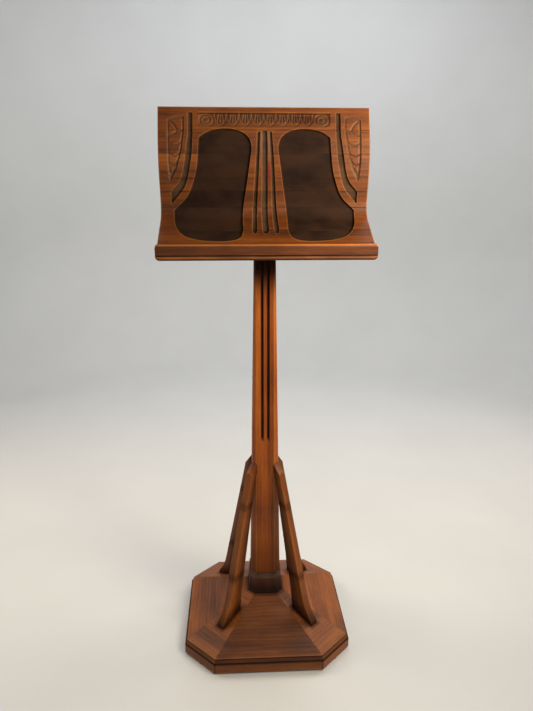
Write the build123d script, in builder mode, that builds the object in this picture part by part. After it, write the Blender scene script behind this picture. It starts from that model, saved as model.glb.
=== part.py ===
from build123d import *
import os
from math import atan2, cos, degrees, pi, radians, sin, sqrt, tan

os.makedirs("parts", exist_ok=True)

# Carved wooden music stand, millimetres. Z is up, the reader stands on the -Y side.
# The origin is on the floor, under the middle of the base.

# ---------------------------------------------------------------- driving dimensions
FOOT = 3.0  # height of the pads under the base
HALF = 200.0  # half width of the square base
CLIP = 72.6  # leg of each clipped corner of the base
FRAME_TOP = FOOT + 25.0  # top of the upright base frame
RIM = FOOT + 36.0  # where the sloping boards start
RIM_INSET = 6.4  # how far the rim stands in from the frame
FRAME_WIDTH = 24.0
BOARD_DROP = 17.0  # thickness of the sloping boards, measured straight down

COLLAR_Z = FOOT + 99.0  # top of the sloping boards, where the collar stands
COLLAR_TOP = FOOT + 156.0
COLLAR_HALF = 42.8

COLUMN_FOOT = 70.0  # shoulder that rests on the socket block
COLUMN_TOP = 964.0
COLUMN_HALF_FOOT = 38.0
COLUMN_HALF_TOP = 23.9
CORNER_FOOT = 14.4  # leg of the column's corner chamfers, bottom and top
CORNER_TOP = 3.0
FLUTE_START = 518.0
FLUTE_RADIUS = 3.6
FLUTE_X = 7.0  # middle of each flute, either side of the face's middle
FLUTE_LIFT = 0.3  # the cutter's axis lies this far outside the face
TENON = 44.0
TENON_BOTTOM = 28.0

BRACE_HALF = 10.0  # half the thickness of a brace
BRACE_HEAD = 457.0  # top of the hipped head, against the column
BRACE_HEAD_LOW = 432.0  # bottom of its seat on the column
HEAD_DROP = 23.0  # fall of the ridge across the head
EAVES_DROP = 5.5  # fall from the ridge to each side

PIVOT_Z = 988.0
TONGUE_RADIUS = 21.0
TONGUE_HALF = 9.0
CHEEK_IN = 10.0
CHEEK_OUT = 24.4
CHEEK_RADIUS = 22.5
BOLT_RADIUS = 4.0
BOLT_CLEARANCE = 0.05

DESK_HALF = 227.3
DESK_THICK = 19.0
CARVE_DEPTH = 4.0
BATTEN_THICK = 14.0
RAIL_HALF = 230.0
RAIL_FRONT = -126.0
RAIL_BACK = -112.0
RAIL_BOTTOM = 951.0
RAIL_TOP = 984.0


STAND = (Align.CENTER, Align.CENTER, Align.MIN)  # a solid that stands on its place


def save(part, name):
    """Labels one finished piece and writes its STEP file."""
    part.label = name
    export_step(part, f"parts/{name}.step")


def octagon(half_width, leg):
    """Corner points of a square with its four corners cut off by the given leg."""
    near = half_width - leg
    quarter = [(half_width, near), (near, half_width)]
    points = []
    for turn in range(4):
        c, s = round(cos(turn * pi / 2)), round(sin(turn * pi / 2))
        points += [(c * x - s * y, s * x + c * y) for x, y in quarter]
    return points


def column_half(z):
    """Half width of the tapering column at a height."""
    share = (z - COLUMN_FOOT) / (COLUMN_TOP - COLUMN_FOOT)
    return COLUMN_HALF_FOOT + share * (COLUMN_HALF_TOP - COLUMN_HALF_FOOT)


def column_corner(z):
    """Distance from the axis to the column's corner chamfer at a height."""
    share = (z - COLUMN_FOOT) / (COLUMN_TOP - COLUMN_FOOT)
    leg = CORNER_FOOT + share * (CORNER_TOP - CORNER_FOOT)
    return (2 * column_half(z) - leg) / sqrt(2)


def wood_screw(length, radius):
    """Countersunk screw with its head at the local origin, pointing along local +Z."""
    Cylinder(radius, length, align=STAND)
    Cone(radius * 2, radius, radius * 1.6, align=STAND)


# ---------------------------------------------------------------- base: pads and their screws
PAD_RADIUS = 14.0
PAD_REACH = 216.0  # from the axis to each pad, towards the clipped corners
diagonals = [45 + 90 * turn for turn in range(4)]
corner_names = ["back_right", "back_left", "front_left", "front_right"]
pad_places = [
    (PAD_REACH * cos(radians(a)), PAD_REACH * sin(radians(a)), 0) for a in diagonals
]

PAD_SCREW = 1.3
PAD_SCREW_HEAD = PAD_SCREW * 2
PAD_SCREW_SINK = 0.4

with BuildPart() as pad_screws:
    with Locations(*[(x, y, PAD_SCREW_SINK) for x, y, _ in pad_places]):
        wood_screw(length=14, radius=PAD_SCREW)
save(pad_screws.part, "pad_screws")

with BuildPart() as foot_pads:
    with BuildSketch():
        with Locations(*[(x, y) for x, y, _ in pad_places]):
            Circle(PAD_RADIUS)
    extrude(amount=FOOT)
    with Locations(*pad_places):
        Cylinder(PAD_SCREW_HEAD, PAD_SCREW_SINK, align=STAND, mode=Mode.SUBTRACT)
    add(pad_screws.part, mode=Mode.SUBTRACT)
save(foot_pads.part, "foot_pads")

# ---------------------------------------------------------------- base: crossed bearers
BEARER_HALF = 30.0
BEARER_BOTTOM = FOOT + 2.0
BEARER_TOP = TENON_BOTTOM
BEARER_REACH = 184.0
LAP = (BEARER_BOTTOM + BEARER_TOP) / 2

SCREW_FAR, SCREW_NEAR = 42, 18  # places of the screws that hold the socket block
bearer_screw_places = [
    (x, y, BEARER_BOTTOM) for x in (-SCREW_FAR, SCREW_FAR) for y in (-SCREW_NEAR, SCREW_NEAR)
]
bearer_screw_places += [
    (x, y, BEARER_BOTTOM) for x in (-SCREW_NEAR, SCREW_NEAR) for y in (-SCREW_FAR, SCREW_FAR)
]
with BuildPart() as bearer_screws:
    with Locations(*bearer_screw_places):
        wood_screw(length=48, radius=2.5)
save(bearer_screws.part, "bearer_screws")


def bearer(name, angle, notch_low, notch_high):
    """A beam across the base frame, notched at the middle to lap over its partner."""
    with BuildPart() as beam:
        with BuildSketch(Plane.XY.offset(BEARER_BOTTOM).rotated((0, 0, angle))):
            Rectangle(2 * BEARER_REACH, 2 * BEARER_HALF)
        extrude(amount=BEARER_TOP - BEARER_BOTTOM)
        with BuildSketch(Plane.XY.offset(notch_low)):
            Rectangle(2 * BEARER_HALF, 2 * BEARER_HALF)
        extrude(amount=notch_high - notch_low, mode=Mode.SUBTRACT)
        add(bearer_screws.part, mode=Mode.SUBTRACT)
    save(beam.part, name)
    return beam.part


bearer_lower = bearer("bearer_lower", 0, LAP, BEARER_TOP)
bearer_upper = bearer("bearer_upper", 90, BEARER_BOTTOM, LAP)

# ---------------------------------------------------------------- base: mitred frame
corner_reach = sqrt(2) * HALF - CLIP / sqrt(2)
inner_half = HALF - FRAME_WIDTH
inner_clip = 2 * inner_half - sqrt(2) * (corner_reach - FRAME_WIDTH)
long_rail = [
    (HALF, HALF - CLIP),
    (HALF, CLIP - HALF),
    (inner_half, inner_clip - inner_half),
    (inner_half, inner_half - inner_clip),
]
clip_rail = [
    (HALF, HALF - CLIP),
    (HALF - CLIP, HALF),
    (inner_half - inner_clip, inner_half),
    (inner_half, inner_half - inner_clip),
]


def frame_rail(name, outline, angle):
    """One length of the upright frame, mitred at both ends and housed for the bearers."""
    with BuildPart() as rail:
        with BuildSketch(Plane.XY.offset(FOOT).rotated((0, 0, angle))):
            Polygon(*outline, align=None)
        extrude(amount=FRAME_TOP - FOOT)
        add(bearer_lower, mode=Mode.SUBTRACT)
        add(bearer_upper, mode=Mode.SUBTRACT)
        add(pad_screws.part, mode=Mode.SUBTRACT)
    save(rail.part, name)


side_names = ["right", "back", "left", "front"]
for turn, side in enumerate(side_names):
    frame_rail(f"frame_rail_{side}", long_rail, 90 * turn)
for turn, corner in enumerate(corner_names):
    frame_rail(f"frame_clip_{corner}", clip_rail, 90 * turn)

# ---------------------------------------------------------------- column
with BuildPart() as tenon_wedges:
    for side in (-1, 1):
        with BuildSketch(Plane.XZ.offset(-TENON / 2)):
            with Locations((side * 11, TENON_BOTTOM)):
                Polygon((-2, 0), (2, 0), (0.5, 30), (-0.5, 30), align=None)
        extrude(amount=TENON)
save(tenon_wedges.part, "tenon_wedges")

with BuildPart() as column:
    for z, leg in ((COLUMN_FOOT, CORNER_FOOT), (COLUMN_TOP, CORNER_TOP)):
        with BuildSketch(Plane.XY.offset(z)):
            Polygon(*octagon(column_half(z), leg), align=None)
    loft(ruled=True)
    # Two stopped flutes on each face, lying along the face's taper.
    lean = (COLUMN_HALF_FOOT - COLUMN_HALF_TOP) / (COLUMN_TOP - COLUMN_FOOT)
    for turn in range(4):
        along = Vector(0, lean, 1).rotate(Axis.Z, 90 * turn)
        for side in (-1, 1):
            start = Vector(side * FLUTE_X, -column_half(FLUTE_START) - FLUTE_LIFT, FLUTE_START)
            start = start.rotate(Axis.Z, 90 * turn)
            with BuildSketch(Plane(origin=start, z_dir=along)):
                Circle(FLUTE_RADIUS)
            extrude(amount=COLUMN_TOP - FLUTE_START + 5, mode=Mode.SUBTRACT)
            with Locations(start):
                Sphere(FLUTE_RADIUS, mode=Mode.SUBTRACT)
    # Rounded tongue that the desk turns on.
    with BuildSketch(Plane.YZ.offset(-TONGUE_HALF)):
        with Locations((0, (COLUMN_TOP + PIVOT_Z) / 2 - 4)):
            Rectangle(2 * TONGUE_RADIUS, PIVOT_Z - COLUMN_TOP + 8)
        with Locations((0, PIVOT_Z)):
            Circle(TONGUE_RADIUS)
    extrude(amount=2 * TONGUE_HALF)
    with BuildSketch(Plane.YZ.offset(-TONGUE_HALF)):
        with Locations((0, PIVOT_Z)):
            Circle(BOLT_RADIUS + BOLT_CLEARANCE)
    extrude(amount=2 * TONGUE_HALF, mode=Mode.SUBTRACT)
    # Square tenon, with kerfs opened by the wedges.
    with BuildSketch(Plane.XY.offset(TENON_BOTTOM)):
        Rectangle(TENON, TENON)
    extrude(amount=COLUMN_FOOT - TENON_BOTTOM)
    add(tenon_wedges.part, mode=Mode.SUBTRACT)

# ---------------------------------------------------------------- base: socket block
BLOCK_WIDTH = 110.0
with BuildPart() as socket_block:
    with BuildSketch(Plane.XY.offset(TENON_BOTTOM)):
        Rectangle(BLOCK_WIDTH, BLOCK_WIDTH)
        Rectangle(TENON, TENON, mode=Mode.SUBTRACT)
    extrude(amount=COLUMN_FOOT - TENON_BOTTOM)
    add(bearer_screws.part, mode=Mode.SUBTRACT)
save(socket_block.part, "socket_block")

# ---------------------------------------------------------------- braces
BRACE_OUT_SLOPE = 0.254  # outward run of the brace's outer edge per millimetre of fall
BRACE_IN_SLOPE = 0.185
rim_half = HALF - RIM_INSET
rim_reach = corner_reach - RIM_INSET
clip_share = (2 * rim_half - sqrt(2) * rim_reach) / rim_half  # leg over half width
top_reach = rim_reach * COLLAR_HALF / rim_half
corner_fall = (COLLAR_Z - RIM) / (rim_reach - top_reach)


def corner_board_z(reach):
    """Height of the corner board's surface at a distance from the axis."""
    return RIM + (rim_reach - reach) * corner_fall


def brace_outer(z):
    """Distance from the axis to the brace's outer edge at a height."""
    return 54.4 + BRACE_OUT_SLOPE * (440 - z)


def brace_inner(z):
    """Distance from the axis to the brace's inner edge at a height."""
    return 50 + BRACE_IN_SLOPE * (383 - z)


TOE = 163.5  # reach of the brace's foot, front and back
HEEL = 101.5
TOE_HEIGHT = 5.0
FLARE_TOP = 130.0  # the outer edge flares below this height
HEEL_TOP = 140.0
head_inner = column_corner(BRACE_HEAD)
ridge_run = brace_outer(BRACE_HEAD - HEAD_DROP) - head_inner


def diagonal_plane(angle):
    """Upright plane through the axis: local x runs outwards, local y runs up."""
    out = Vector(1, 0, 0).rotate(Axis.Z, angle)
    return Plane(origin=(0, 0, 0), x_dir=out, z_dir=out.cross(Vector(0, 0, 1)))


DOWEL_Z = 438.0  # dowels that tie the brace heads to the column
DOWEL_START = 18.0
DOWEL_LENGTH = 28.0
DOWEL_RADIUS = 3.0
with BuildPart() as brace_dowels:
    for angle in diagonals:
        out = Vector(1, 0, 0).rotate(Axis.Z, angle)
        with BuildSketch(Plane(origin=out * DOWEL_START + Vector(0, 0, DOWEL_Z), z_dir=out)):
            Circle(DOWEL_RADIUS)
        extrude(amount=DOWEL_LENGTH)
save(brace_dowels.part, "brace_dowels")

BRACE_SCREW_REACH = 132.0
screw_low = corner_board_z(BRACE_SCREW_REACH) - BOARD_DROP + 1
with BuildPart() as brace_screws:
    for angle in diagonals:
        place = Vector(BRACE_SCREW_REACH, 0, screw_low).rotate(Axis.Z, angle)
        with Locations(place):
            wood_screw(length=45, radius=2.2)
save(brace_screws.part, "brace_screws")


def brace(name, angle):
    """A raking strut: straight leg, flared foot on the board, hipped head on the column."""
    plane = diagonal_plane(angle)
    with BuildPart() as strut:
        with BuildSketch(plane):
            with BuildLine():
                Polyline(
                    (column_corner(BRACE_HEAD_LOW), BRACE_HEAD_LOW),
                    (head_inner, BRACE_HEAD),
                    (brace_outer(BRACE_HEAD - HEAD_DROP), BRACE_HEAD - HEAD_DROP),
                    (brace_outer(FLARE_TOP), FLARE_TOP),
                )
                Spline(
                    (brace_outer(FLARE_TOP), FLARE_TOP),
                    (143, 101),
                    (TOE - 2, 72),
                    tangents=[(BRACE_OUT_SLOPE, -1), (1, -0.9)],
                )
                Polyline(
                    (TOE - 2, 72),
                    (TOE, corner_board_z(TOE) + TOE_HEIGHT),
                    (TOE, corner_board_z(TOE)),
                    (HEEL, corner_board_z(HEEL)),
                    (brace_inner(HEEL_TOP), HEEL_TOP),
                    (brace_inner(BRACE_HEAD_LOW - 3), BRACE_HEAD_LOW - 3),
                    (column_corner(BRACE_HEAD_LOW), BRACE_HEAD_LOW),
                )
            make_face()
        extrude(amount=BRACE_HALF, both=True)
        # The hipped head: one plane falls each way from the ridge.
        for side in (-1, 1):
            down = Vector(ridge_run, -HEAD_DROP, 0)
            aside = Vector(0, -EAVES_DROP, side * BRACE_HALF)
            normal = aside.cross(down) * side
            facet = Plane(
                origin=plane.from_local_coords(Vector(head_inner, BRACE_HEAD, 0)),
                z_dir=plane.from_local_coords(normal) - plane.origin,
            )
            split(bisect_by=facet, keep=Keep.BOTTOM)
        add(brace_dowels.part, mode=Mode.SUBTRACT)
        add(brace_screws.part, mode=Mode.SUBTRACT)
    save(strut.part, name)


for angle, corner in zip(diagonals, corner_names):
    brace(f"brace_{corner}", angle)

with BuildPart() as finished_column:
    add(column.part)
    add(brace_dowels.part, mode=Mode.SUBTRACT)
save(finished_column.part, "column")

# ---------------------------------------------------------------- base: sloping boards
with BuildPart() as roof:
    # Moulded edge: a bevelled band under the rim.
    moulding = [(FRAME_TOP, HALF - 1.5), (RIM - 2, rim_half + 1.0), (RIM, rim_half)]
    for (low, wide), (high, narrow) in zip(moulding, moulding[1:]):
        for z, half in ((low, wide), (high, narrow)):
            with BuildSketch(Plane.XY.offset(z)):
                Polygon(*octagon(half, clip_share * half), align=None)
        loft(ruled=True)
    # Eight facets rising to the collar, hollow below.
    for z, half in ((RIM, rim_half), (COLLAR_Z, COLLAR_HALF)):
        with BuildSketch(Plane.XY.offset(z)):
            Polygon(*octagon(half, clip_share * half), align=None)
    loft(ruled=True)
    run = (rim_half - COLLAR_HALF) / (COLLAR_Z - RIM)
    low_half = rim_half + run * (RIM - BOARD_DROP - FRAME_TOP)
    for z, half in ((FRAME_TOP, low_half), (COLLAR_Z - BOARD_DROP, COLLAR_HALF)):
        with BuildSketch(Plane.XY.offset(z)):
            Polygon(*octagon(half, clip_share * half), align=None)
    loft(ruled=True, mode=Mode.SUBTRACT)
    add(finished_column.part, mode=Mode.SUBTRACT)
    with BuildSketch(Plane.XY.offset(FRAME_TOP)):
        Rectangle(BLOCK_WIDTH, BLOCK_WIDTH)
    extrude(amount=COLUMN_FOOT - FRAME_TOP, mode=Mode.SUBTRACT)
    add(brace_screws.part, mode=Mode.SUBTRACT)

hip = degrees(atan2(1 - clip_share, 1))  # polar angle of the hip lines


def sloping_board(name, middle, spread):
    """One mitred board of the roof: the sector that lies about a middle direction."""
    far = 2 * HALF
    with BuildPart() as board:
        add(roof.part)
        with BuildSketch(Plane.XY.rotated((0, 0, middle))):
            reach = far * tan(radians(spread))
            Polygon((0, 0), (far, -reach), (far, reach), align=None)
        extrude(amount=COLLAR_Z + 1, mode=Mode.INTERSECT)
    save(board.part, name)


for turn, side in enumerate(side_names):
    sloping_board(f"base_board_{side}", 90 * turn, hip)
for angle, corner in zip(diagonals, corner_names):
    sloping_board(f"base_corner_{corner}", angle, 45 - hip)

# ---------------------------------------------------------------- collar
COLLAR_STEP = 43.5  # half width of the small step at the bottom
COLLAR_WIDE, COLLAR_NARROW = 42.0, 38.6  # half widths of the tapering side above it
COLLAR_SIDE = COLLAR_Z + 5
SCRIBED = (147, 150, 153)
with BuildPart() as collar:
    steps = [
        (COLLAR_Z, COLLAR_STEP),
        (COLLAR_Z + 4, COLLAR_STEP),
        (COLLAR_SIDE, COLLAR_WIDE),
        (COLLAR_TOP, COLLAR_NARROW),
    ]
    for (low, wide), (high, narrow) in zip(steps, steps[1:]):
        for z, half in ((low, wide), (high, narrow)):
            with BuildSketch(Plane.XY.offset(z)):
                Polygon(*octagon(half, clip_share * half), align=None)
        loft(ruled=True)
    # Three scribed lines round the upper half.
    for z in SCRIBED:
        share = (z - COLLAR_SIDE) / (COLLAR_TOP - COLLAR_SIDE)
        half = COLLAR_WIDE - share * (COLLAR_WIDE - COLLAR_NARROW)
        with BuildSketch(Plane.XY.offset(z)):
            Polygon(*octagon(half + 1, clip_share * (half + 1)), align=None)
            Polygon(*octagon(half - 0.6, clip_share * (half - 0.6)), align=None, mode=Mode.SUBTRACT)
        extrude(amount=0.8, mode=Mode.SUBTRACT)
    add(finished_column.part, mode=Mode.SUBTRACT)
save(collar.part, "collar")

# ---------------------------------------------------------------- desk: ledge rail
RAIL_DOWEL_Z = 969.0
GROOVE_RISE = 9.5  # from the rail's bottom to the middle of its groove
with BuildPart() as rail_dowels:
    for x in (-150, 0, 150):
        with BuildSketch(Plane.XZ.offset(98)):
            with Locations((x, RAIL_DOWEL_Z)):
                Circle(3)
        extrude(amount=22)
save(rail_dowels.part, "rail_dowels")

with BuildPart() as ledge_rail:
    rail_height = RAIL_TOP - RAIL_BOTTOM
    with BuildSketch(Plane.XZ.offset(-RAIL_BACK)) as rail_face:
        with Locations((0, (RAIL_TOP + RAIL_BOTTOM) / 2)):
            Rectangle(2 * RAIL_HALF, rail_height)
        fillet(rail_face.vertices().group_by(Axis.Y)[0], 9)
        fillet(rail_face.vertices().group_by(Axis.Y)[-1], 5)
    extrude(amount=RAIL_BACK - RAIL_FRONT)
    front_edges = ledge_rail.faces().sort_by(Axis.Y)[0].edges()
    fillet(front_edges, 2.5)
    with BuildSketch(Plane.XZ.offset(-RAIL_FRONT)):
        with Locations((0, RAIL_BOTTOM + GROOVE_RISE)):
            Rectangle(2 * RAIL_HALF + 2, 1.4)
    extrude(amount=-1.2, mode=Mode.SUBTRACT)
    add(rail_dowels.part, mode=Mode.SUBTRACT)
save(ledge_rail.part, "ledge_rail")

# ---------------------------------------------------------------- desk: curved panel
# Side view of the front surface, (y, z): it leans back at the top, swells forwards at the
# belly, hollows above the ledge and scoops forwards to the rail.
desk_line = [(8, 1265), (-27, 1163), (-2, 1042.5), (-126, 970.5)]
BELLY_RADIUS = 180.0
HOLLOW_RADIUS = 38.0


def desk_layer(depth):
    """Corners and radii of the desk's side line, moved back by a depth."""
    ahead = [Vector(*b) - Vector(*a) for a, b in zip(desk_line, desk_line[1:])]
    backs = [Vector(-way.Y, way.X).normalized() for way in ahead]
    pairs = zip([backs[0]] + backs, backs + [backs[-1]])
    corners = [
        Vector(*corner) + (one + two) * (depth / (1 + one.dot(two)))
        for corner, (one, two) in zip(desk_line, pairs)
    ]
    return corners, [BELLY_RADIUS - depth, HOLLOW_RADIUS + depth]


def desk_band(near, far):
    """Closed side view of the layer of the desk between two depths behind its front."""
    near_corners, near_radii = desk_layer(near)
    far_corners, far_radii = desk_layer(far)
    with BuildLine() as outline:
        FilletPolyline(*near_corners, radius=near_radii)
        FilletPolyline(*far_corners, radius=far_radii)
        Line(near_corners[0], far_corners[0])
        Line(near_corners[-1], far_corners[-1])
    return outline.line


with BuildLine(Plane.YZ) as front_line:
    FilletPolyline(*desk_line, radius=[BELLY_RADIUS, HOLLOW_RADIUS])
front = front_line.wire()


def desk_plane(distance, depth=0.0):
    """Plane square to the desk's front at a distance down it from the top edge."""
    ahead = front.tangent_at(distance, PositionMode.LENGTH)
    back = Vector(0, -ahead.Z, ahead.Y)
    origin = front.position_at(distance, PositionMode.LENGTH) + back * depth
    return Plane(origin=origin, x_dir=(1, 0, 0), z_dir=ahead)


# Outlines of the carving, seen from the front as (x, z), for the right-hand half.
with BuildSketch() as carved_outlines:
    with BuildLine():
        Spline((29, 1171), (32, 1194), (54, 1214), (80, 1219), (112, 1216), (140.5, 1201))
        Spline((140.5, 1201), (146, 1142), (156, 1106), (170, 1077), (198.5, 1049))
        Spline((198.5, 1049), (195, 1022), (176, 1000), (143, 990))
        Line((143, 990), (62, 990))
        Spline((62, 990), (51, 996), (48, 1009))
        Spline((48, 1009), (48, 1046), (38, 1112), (29, 1171))
    make_face()
    with BuildLine():
        Line((153.5, 1252), (153.5, 1204))
        Spline((153.5, 1204), (158, 1155), (172, 1101), (204, 1062))
        Line((204, 1062), (204, 1088))
        Spline((204, 1088), (179, 1122), (164, 1204))
        Polyline((164, 1204), (164, 1252), (153.5, 1252))
    make_face()
    # Tapered slots between the two recesses.
    Polygon((10.5, 1213), (14.5, 1213), (28.5, 1008), (24, 1002), (21, 1002), (19.2, 1008), align=None)
    mirror(about=Plane.YZ)
    Polygon((-3.7, 1215), (3.7, 1215), (7, 1008), (3, 1002), (-3, 1002), (-7, 1008), align=None)

with BuildPart() as carving:
    with BuildSketch(Plane.XZ):
        add(carved_outlines.sketch)
    extrude(amount=HALF, both=True)
    with BuildSketch(Plane.YZ):
        make_face(desk_band(-1, CARVE_DEPTH).edges())
    extrude(amount=DESK_HALF, both=True, mode=Mode.INTERSECT)

with BuildPart() as panel:
    with BuildSketch(Plane.YZ):
        make_face(desk_band(0, DESK_THICK).edges())
    extrude(amount=DESK_HALF, both=True)
    top_front = panel.edges().filter_by(Axis.X).sort_by(Axis.Z)[-1]
    fillet(top_front, 4)
    split(bisect_by=Plane.XZ.offset(-RAIL_BACK), keep=Keep.BOTTOM)
    add(carving.part, mode=Mode.SUBTRACT)
    add(rail_dowels.part, mode=Mode.SUBTRACT)

# ---------------------------------------------------------------- desk: back battens
BATTEN_X = 150.0
BATTEN_HALF = 15.0
batten_start = desk_plane(24)
batten_end = desk_plane(262)
batten_screw_spots = [45, 105, 165, 232]

with BuildPart() as batten_screws:
    for side in (-1, 1):
        for spot in batten_screw_spots:
            seat = desk_plane(spot, DESK_THICK + BATTEN_THICK)
            inwards = Vector(0, seat.z_dir.Z, -seat.z_dir.Y)
            with Locations(Plane(origin=seat.origin + Vector(side * BATTEN_X, 0, 0), z_dir=inwards)):
                wood_screw(length=24, radius=1.75)
save(batten_screws.part, "batten_screws")

for side, name in ((-1, "batten_left"), (1, "batten_right")):
    with BuildPart() as batten:
        with BuildSketch(Plane.YZ.offset(side * BATTEN_X)):
            make_face(desk_band(DESK_THICK, DESK_THICK + BATTEN_THICK).edges())
        extrude(amount=BATTEN_HALF, both=True)
        split(bisect_by=batten_start, keep=Keep.TOP)
        split(bisect_by=batten_end, keep=Keep.BOTTOM)
        add(batten_screws.part, mode=Mode.SUBTRACT)
    save(batten.part, name)

# ---------------------------------------------------------------- desk: yoke on the column
YOKE_BACK = 38.0
YOKE_DOWEL_Y = 28.0
with BuildPart() as yoke_screws:
    for z in (1085, 1130, 1175):
        with Locations(Plane(origin=(0, YOKE_BACK, z), z_dir=(0, -1, 0))):
            wood_screw(length=42, radius=2.25)
save(yoke_screws.part, "yoke_screws")

with BuildPart() as yoke_dowels:
    for z in (1070, 1150):
        with BuildSketch(Plane.YZ):
            with Locations((YOKE_DOWEL_Y, z)):
                Circle(3)
        extrude(amount=CHEEK_OUT, both=True)
save(yoke_dowels.part, "yoke_dowels")


def yoke_layer(name, low, high, profile):
    """One upright layer of the yoke, scribed to the back of the desk."""
    with BuildPart() as layer:
        with BuildSketch(Plane.YZ.offset(low)):
            profile()
            with BuildLine():
                corners, radii = desk_layer(DESK_THICK)
                FilletPolyline(*corners, radius=radii)
                Polyline(corners[0], (-HALF, corners[0].Y), (-HALF, corners[-1].Y), corners[-1])
            make_face(mode=Mode.SUBTRACT)
        extrude(amount=high - low)
        add(yoke_screws.part, mode=Mode.SUBTRACT)
        add(yoke_dowels.part, mode=Mode.SUBTRACT)
    save(layer.part, name)


def spine_profile():
    """The middle layer stands clear above the tongue."""
    Polygon((-24, 1003), (34, 1003), (YOKE_BACK, 1040), (YOKE_BACK, 1190), (12, 1205),
            (-30, 1205), align=None)
    with Locations((0, PIVOT_Z)):
        Circle(TONGUE_RADIUS + 2.5, mode=Mode.SUBTRACT)


def cheek_profile():
    """A cheek runs down beside the tongue and ends round about the pivot."""
    Polygon((-CHEEK_RADIUS, PIVOT_Z), (-24, 1008), (-30, 1205), (12, 1205), (YOKE_BACK, 1190),
            (YOKE_BACK, 1040), (CHEEK_RADIUS, PIVOT_Z), align=None)
    with Locations((0, PIVOT_Z)):
        Circle(CHEEK_RADIUS)
        Circle(BOLT_RADIUS, mode=Mode.SUBTRACT)


yoke_layer("yoke_spine", -CHEEK_IN, CHEEK_IN, spine_profile)
yoke_layer("yoke_cheek_left", -CHEEK_OUT, -CHEEK_IN, cheek_profile)
yoke_layer("yoke_cheek_right", CHEEK_IN, CHEEK_OUT, cheek_profile)

# ---------------------------------------------------------------- desk: coopered staves
STAVE_WIDTHS = [52, 50, 50, 29, 34, 70]
joints = [sum(STAVE_WIDTHS[:count]) for count in range(1, len(STAVE_WIDTHS) + 1)]
for count in range(len(joints) + 1):
    with BuildPart() as stave:
        add(panel.part)
        if count > 0:
            split(bisect_by=desk_plane(joints[count - 1]), keep=Keep.TOP)
        if count < len(joints):
            split(bisect_by=desk_plane(joints[count]), keep=Keep.BOTTOM)
        add(batten_screws.part, mode=Mode.SUBTRACT)
        add(yoke_screws.part, mode=Mode.SUBTRACT)
    save(stave.part, f"desk_stave_{count + 1}")

# ---------------------------------------------------------------- pivot
DISC = 0.9  # thickness of the leather friction discs
DISC_RADIUS = 19.0
WASHER = 1.5
WASHER_RADIUS = 10.0
BOLT_END = 46.0


def ring(x, thickness, inner, outer):
    """A flat ring about the pivot, its left face at the given x."""
    with Locations(Plane(origin=(x, 0, PIVOT_Z), z_dir=(1, 0, 0))):
        Cylinder(outer, thickness, align=STAND)
        Cylinder(inner, thickness, align=STAND, mode=Mode.SUBTRACT)


with BuildPart() as friction_discs:
    ring(-CHEEK_IN, DISC, BOLT_RADIUS, DISC_RADIUS)
    ring(CHEEK_IN - DISC, DISC, BOLT_RADIUS, DISC_RADIUS)
save(friction_discs.part, "friction_discs")

with BuildPart() as bolt_washers:
    ring(-CHEEK_OUT - WASHER, WASHER, BOLT_RADIUS, WASHER_RADIUS)
    ring(CHEEK_OUT, WASHER, BOLT_RADIUS, WASHER_RADIUS)
save(bolt_washers.part, "bolt_washers")

with BuildPart() as pivot_bolt:
    with BuildSketch(Plane.YZ.offset(-CHEEK_OUT - WASHER)):
        with Locations((0, PIVOT_Z)):
            Circle(BOLT_RADIUS)
    extrude(amount=CHEEK_OUT + WASHER + BOLT_END)
    # Domed head.
    with BuildSketch(Plane.XZ):
        with BuildLine():
            head_x = -CHEEK_OUT - WASHER
            ThreePointArc((head_x - 4.5, PIVOT_Z), (head_x - 3.3, PIVOT_Z + 5), (head_x, PIVOT_Z + 8.5))
            Polyline((head_x, PIVOT_Z + 8.5), (head_x, PIVOT_Z), (head_x - 4.5, PIVOT_Z))
        make_face()
    revolve(axis=Axis((0, 0, PIVOT_Z), (1, 0, 0)))
save(pivot_bolt.part, "pivot_bolt")

# ---------------------------------------------------------------- clamp knob
KNOB_X = CHEEK_OUT + WASHER + 0.3
KNOB_LENGTH = 28.0
INSERT_RADIUS = 6.5
INSERT_LENGTH = 16.0

with BuildPart() as knob_insert:
    ring(KNOB_X, INSERT_LENGTH, BOLT_RADIUS + BOLT_CLEARANCE, INSERT_RADIUS)
save(knob_insert.part, "knob_insert")

with BuildPart() as clamp_knob:
    with BuildSketch(Plane.XZ):
        with BuildLine():
            Line((KNOB_X, PIVOT_Z), (KNOB_X, PIVOT_Z + 10))
            Spline(
                (KNOB_X, PIVOT_Z + 10),
                (KNOB_X + 6, PIVOT_Z + 10.5),
                (KNOB_X + 12, PIVOT_Z + 18),
                (KNOB_X + 21, PIVOT_Z + 18),
                (KNOB_X + KNOB_LENGTH, PIVOT_Z),
                tangents=[(1, -0.3), (0, -1)],
            )
            Line((KNOB_X + KNOB_LENGTH, PIVOT_Z), (KNOB_X, PIVOT_Z))
        make_face()
    revolve(axis=Axis((0, 0, PIVOT_Z), (1, 0, 0)))
    with BuildSketch(Plane.YZ.offset(KNOB_X)):
        with Locations((0, PIVOT_Z)):
            Circle(INSERT_RADIUS)
    extrude(amount=INSERT_LENGTH, mode=Mode.SUBTRACT)
    with BuildSketch(Plane.YZ.offset(KNOB_X)):
        with Locations((0, PIVOT_Z)):
            Circle(BOLT_RADIUS + BOLT_CLEARANCE)
    extrude(amount=BOLT_END - KNOB_X + 1, mode=Mode.SUBTRACT)
save(clamp_knob.part, "clamp_knob")
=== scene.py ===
import math

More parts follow.
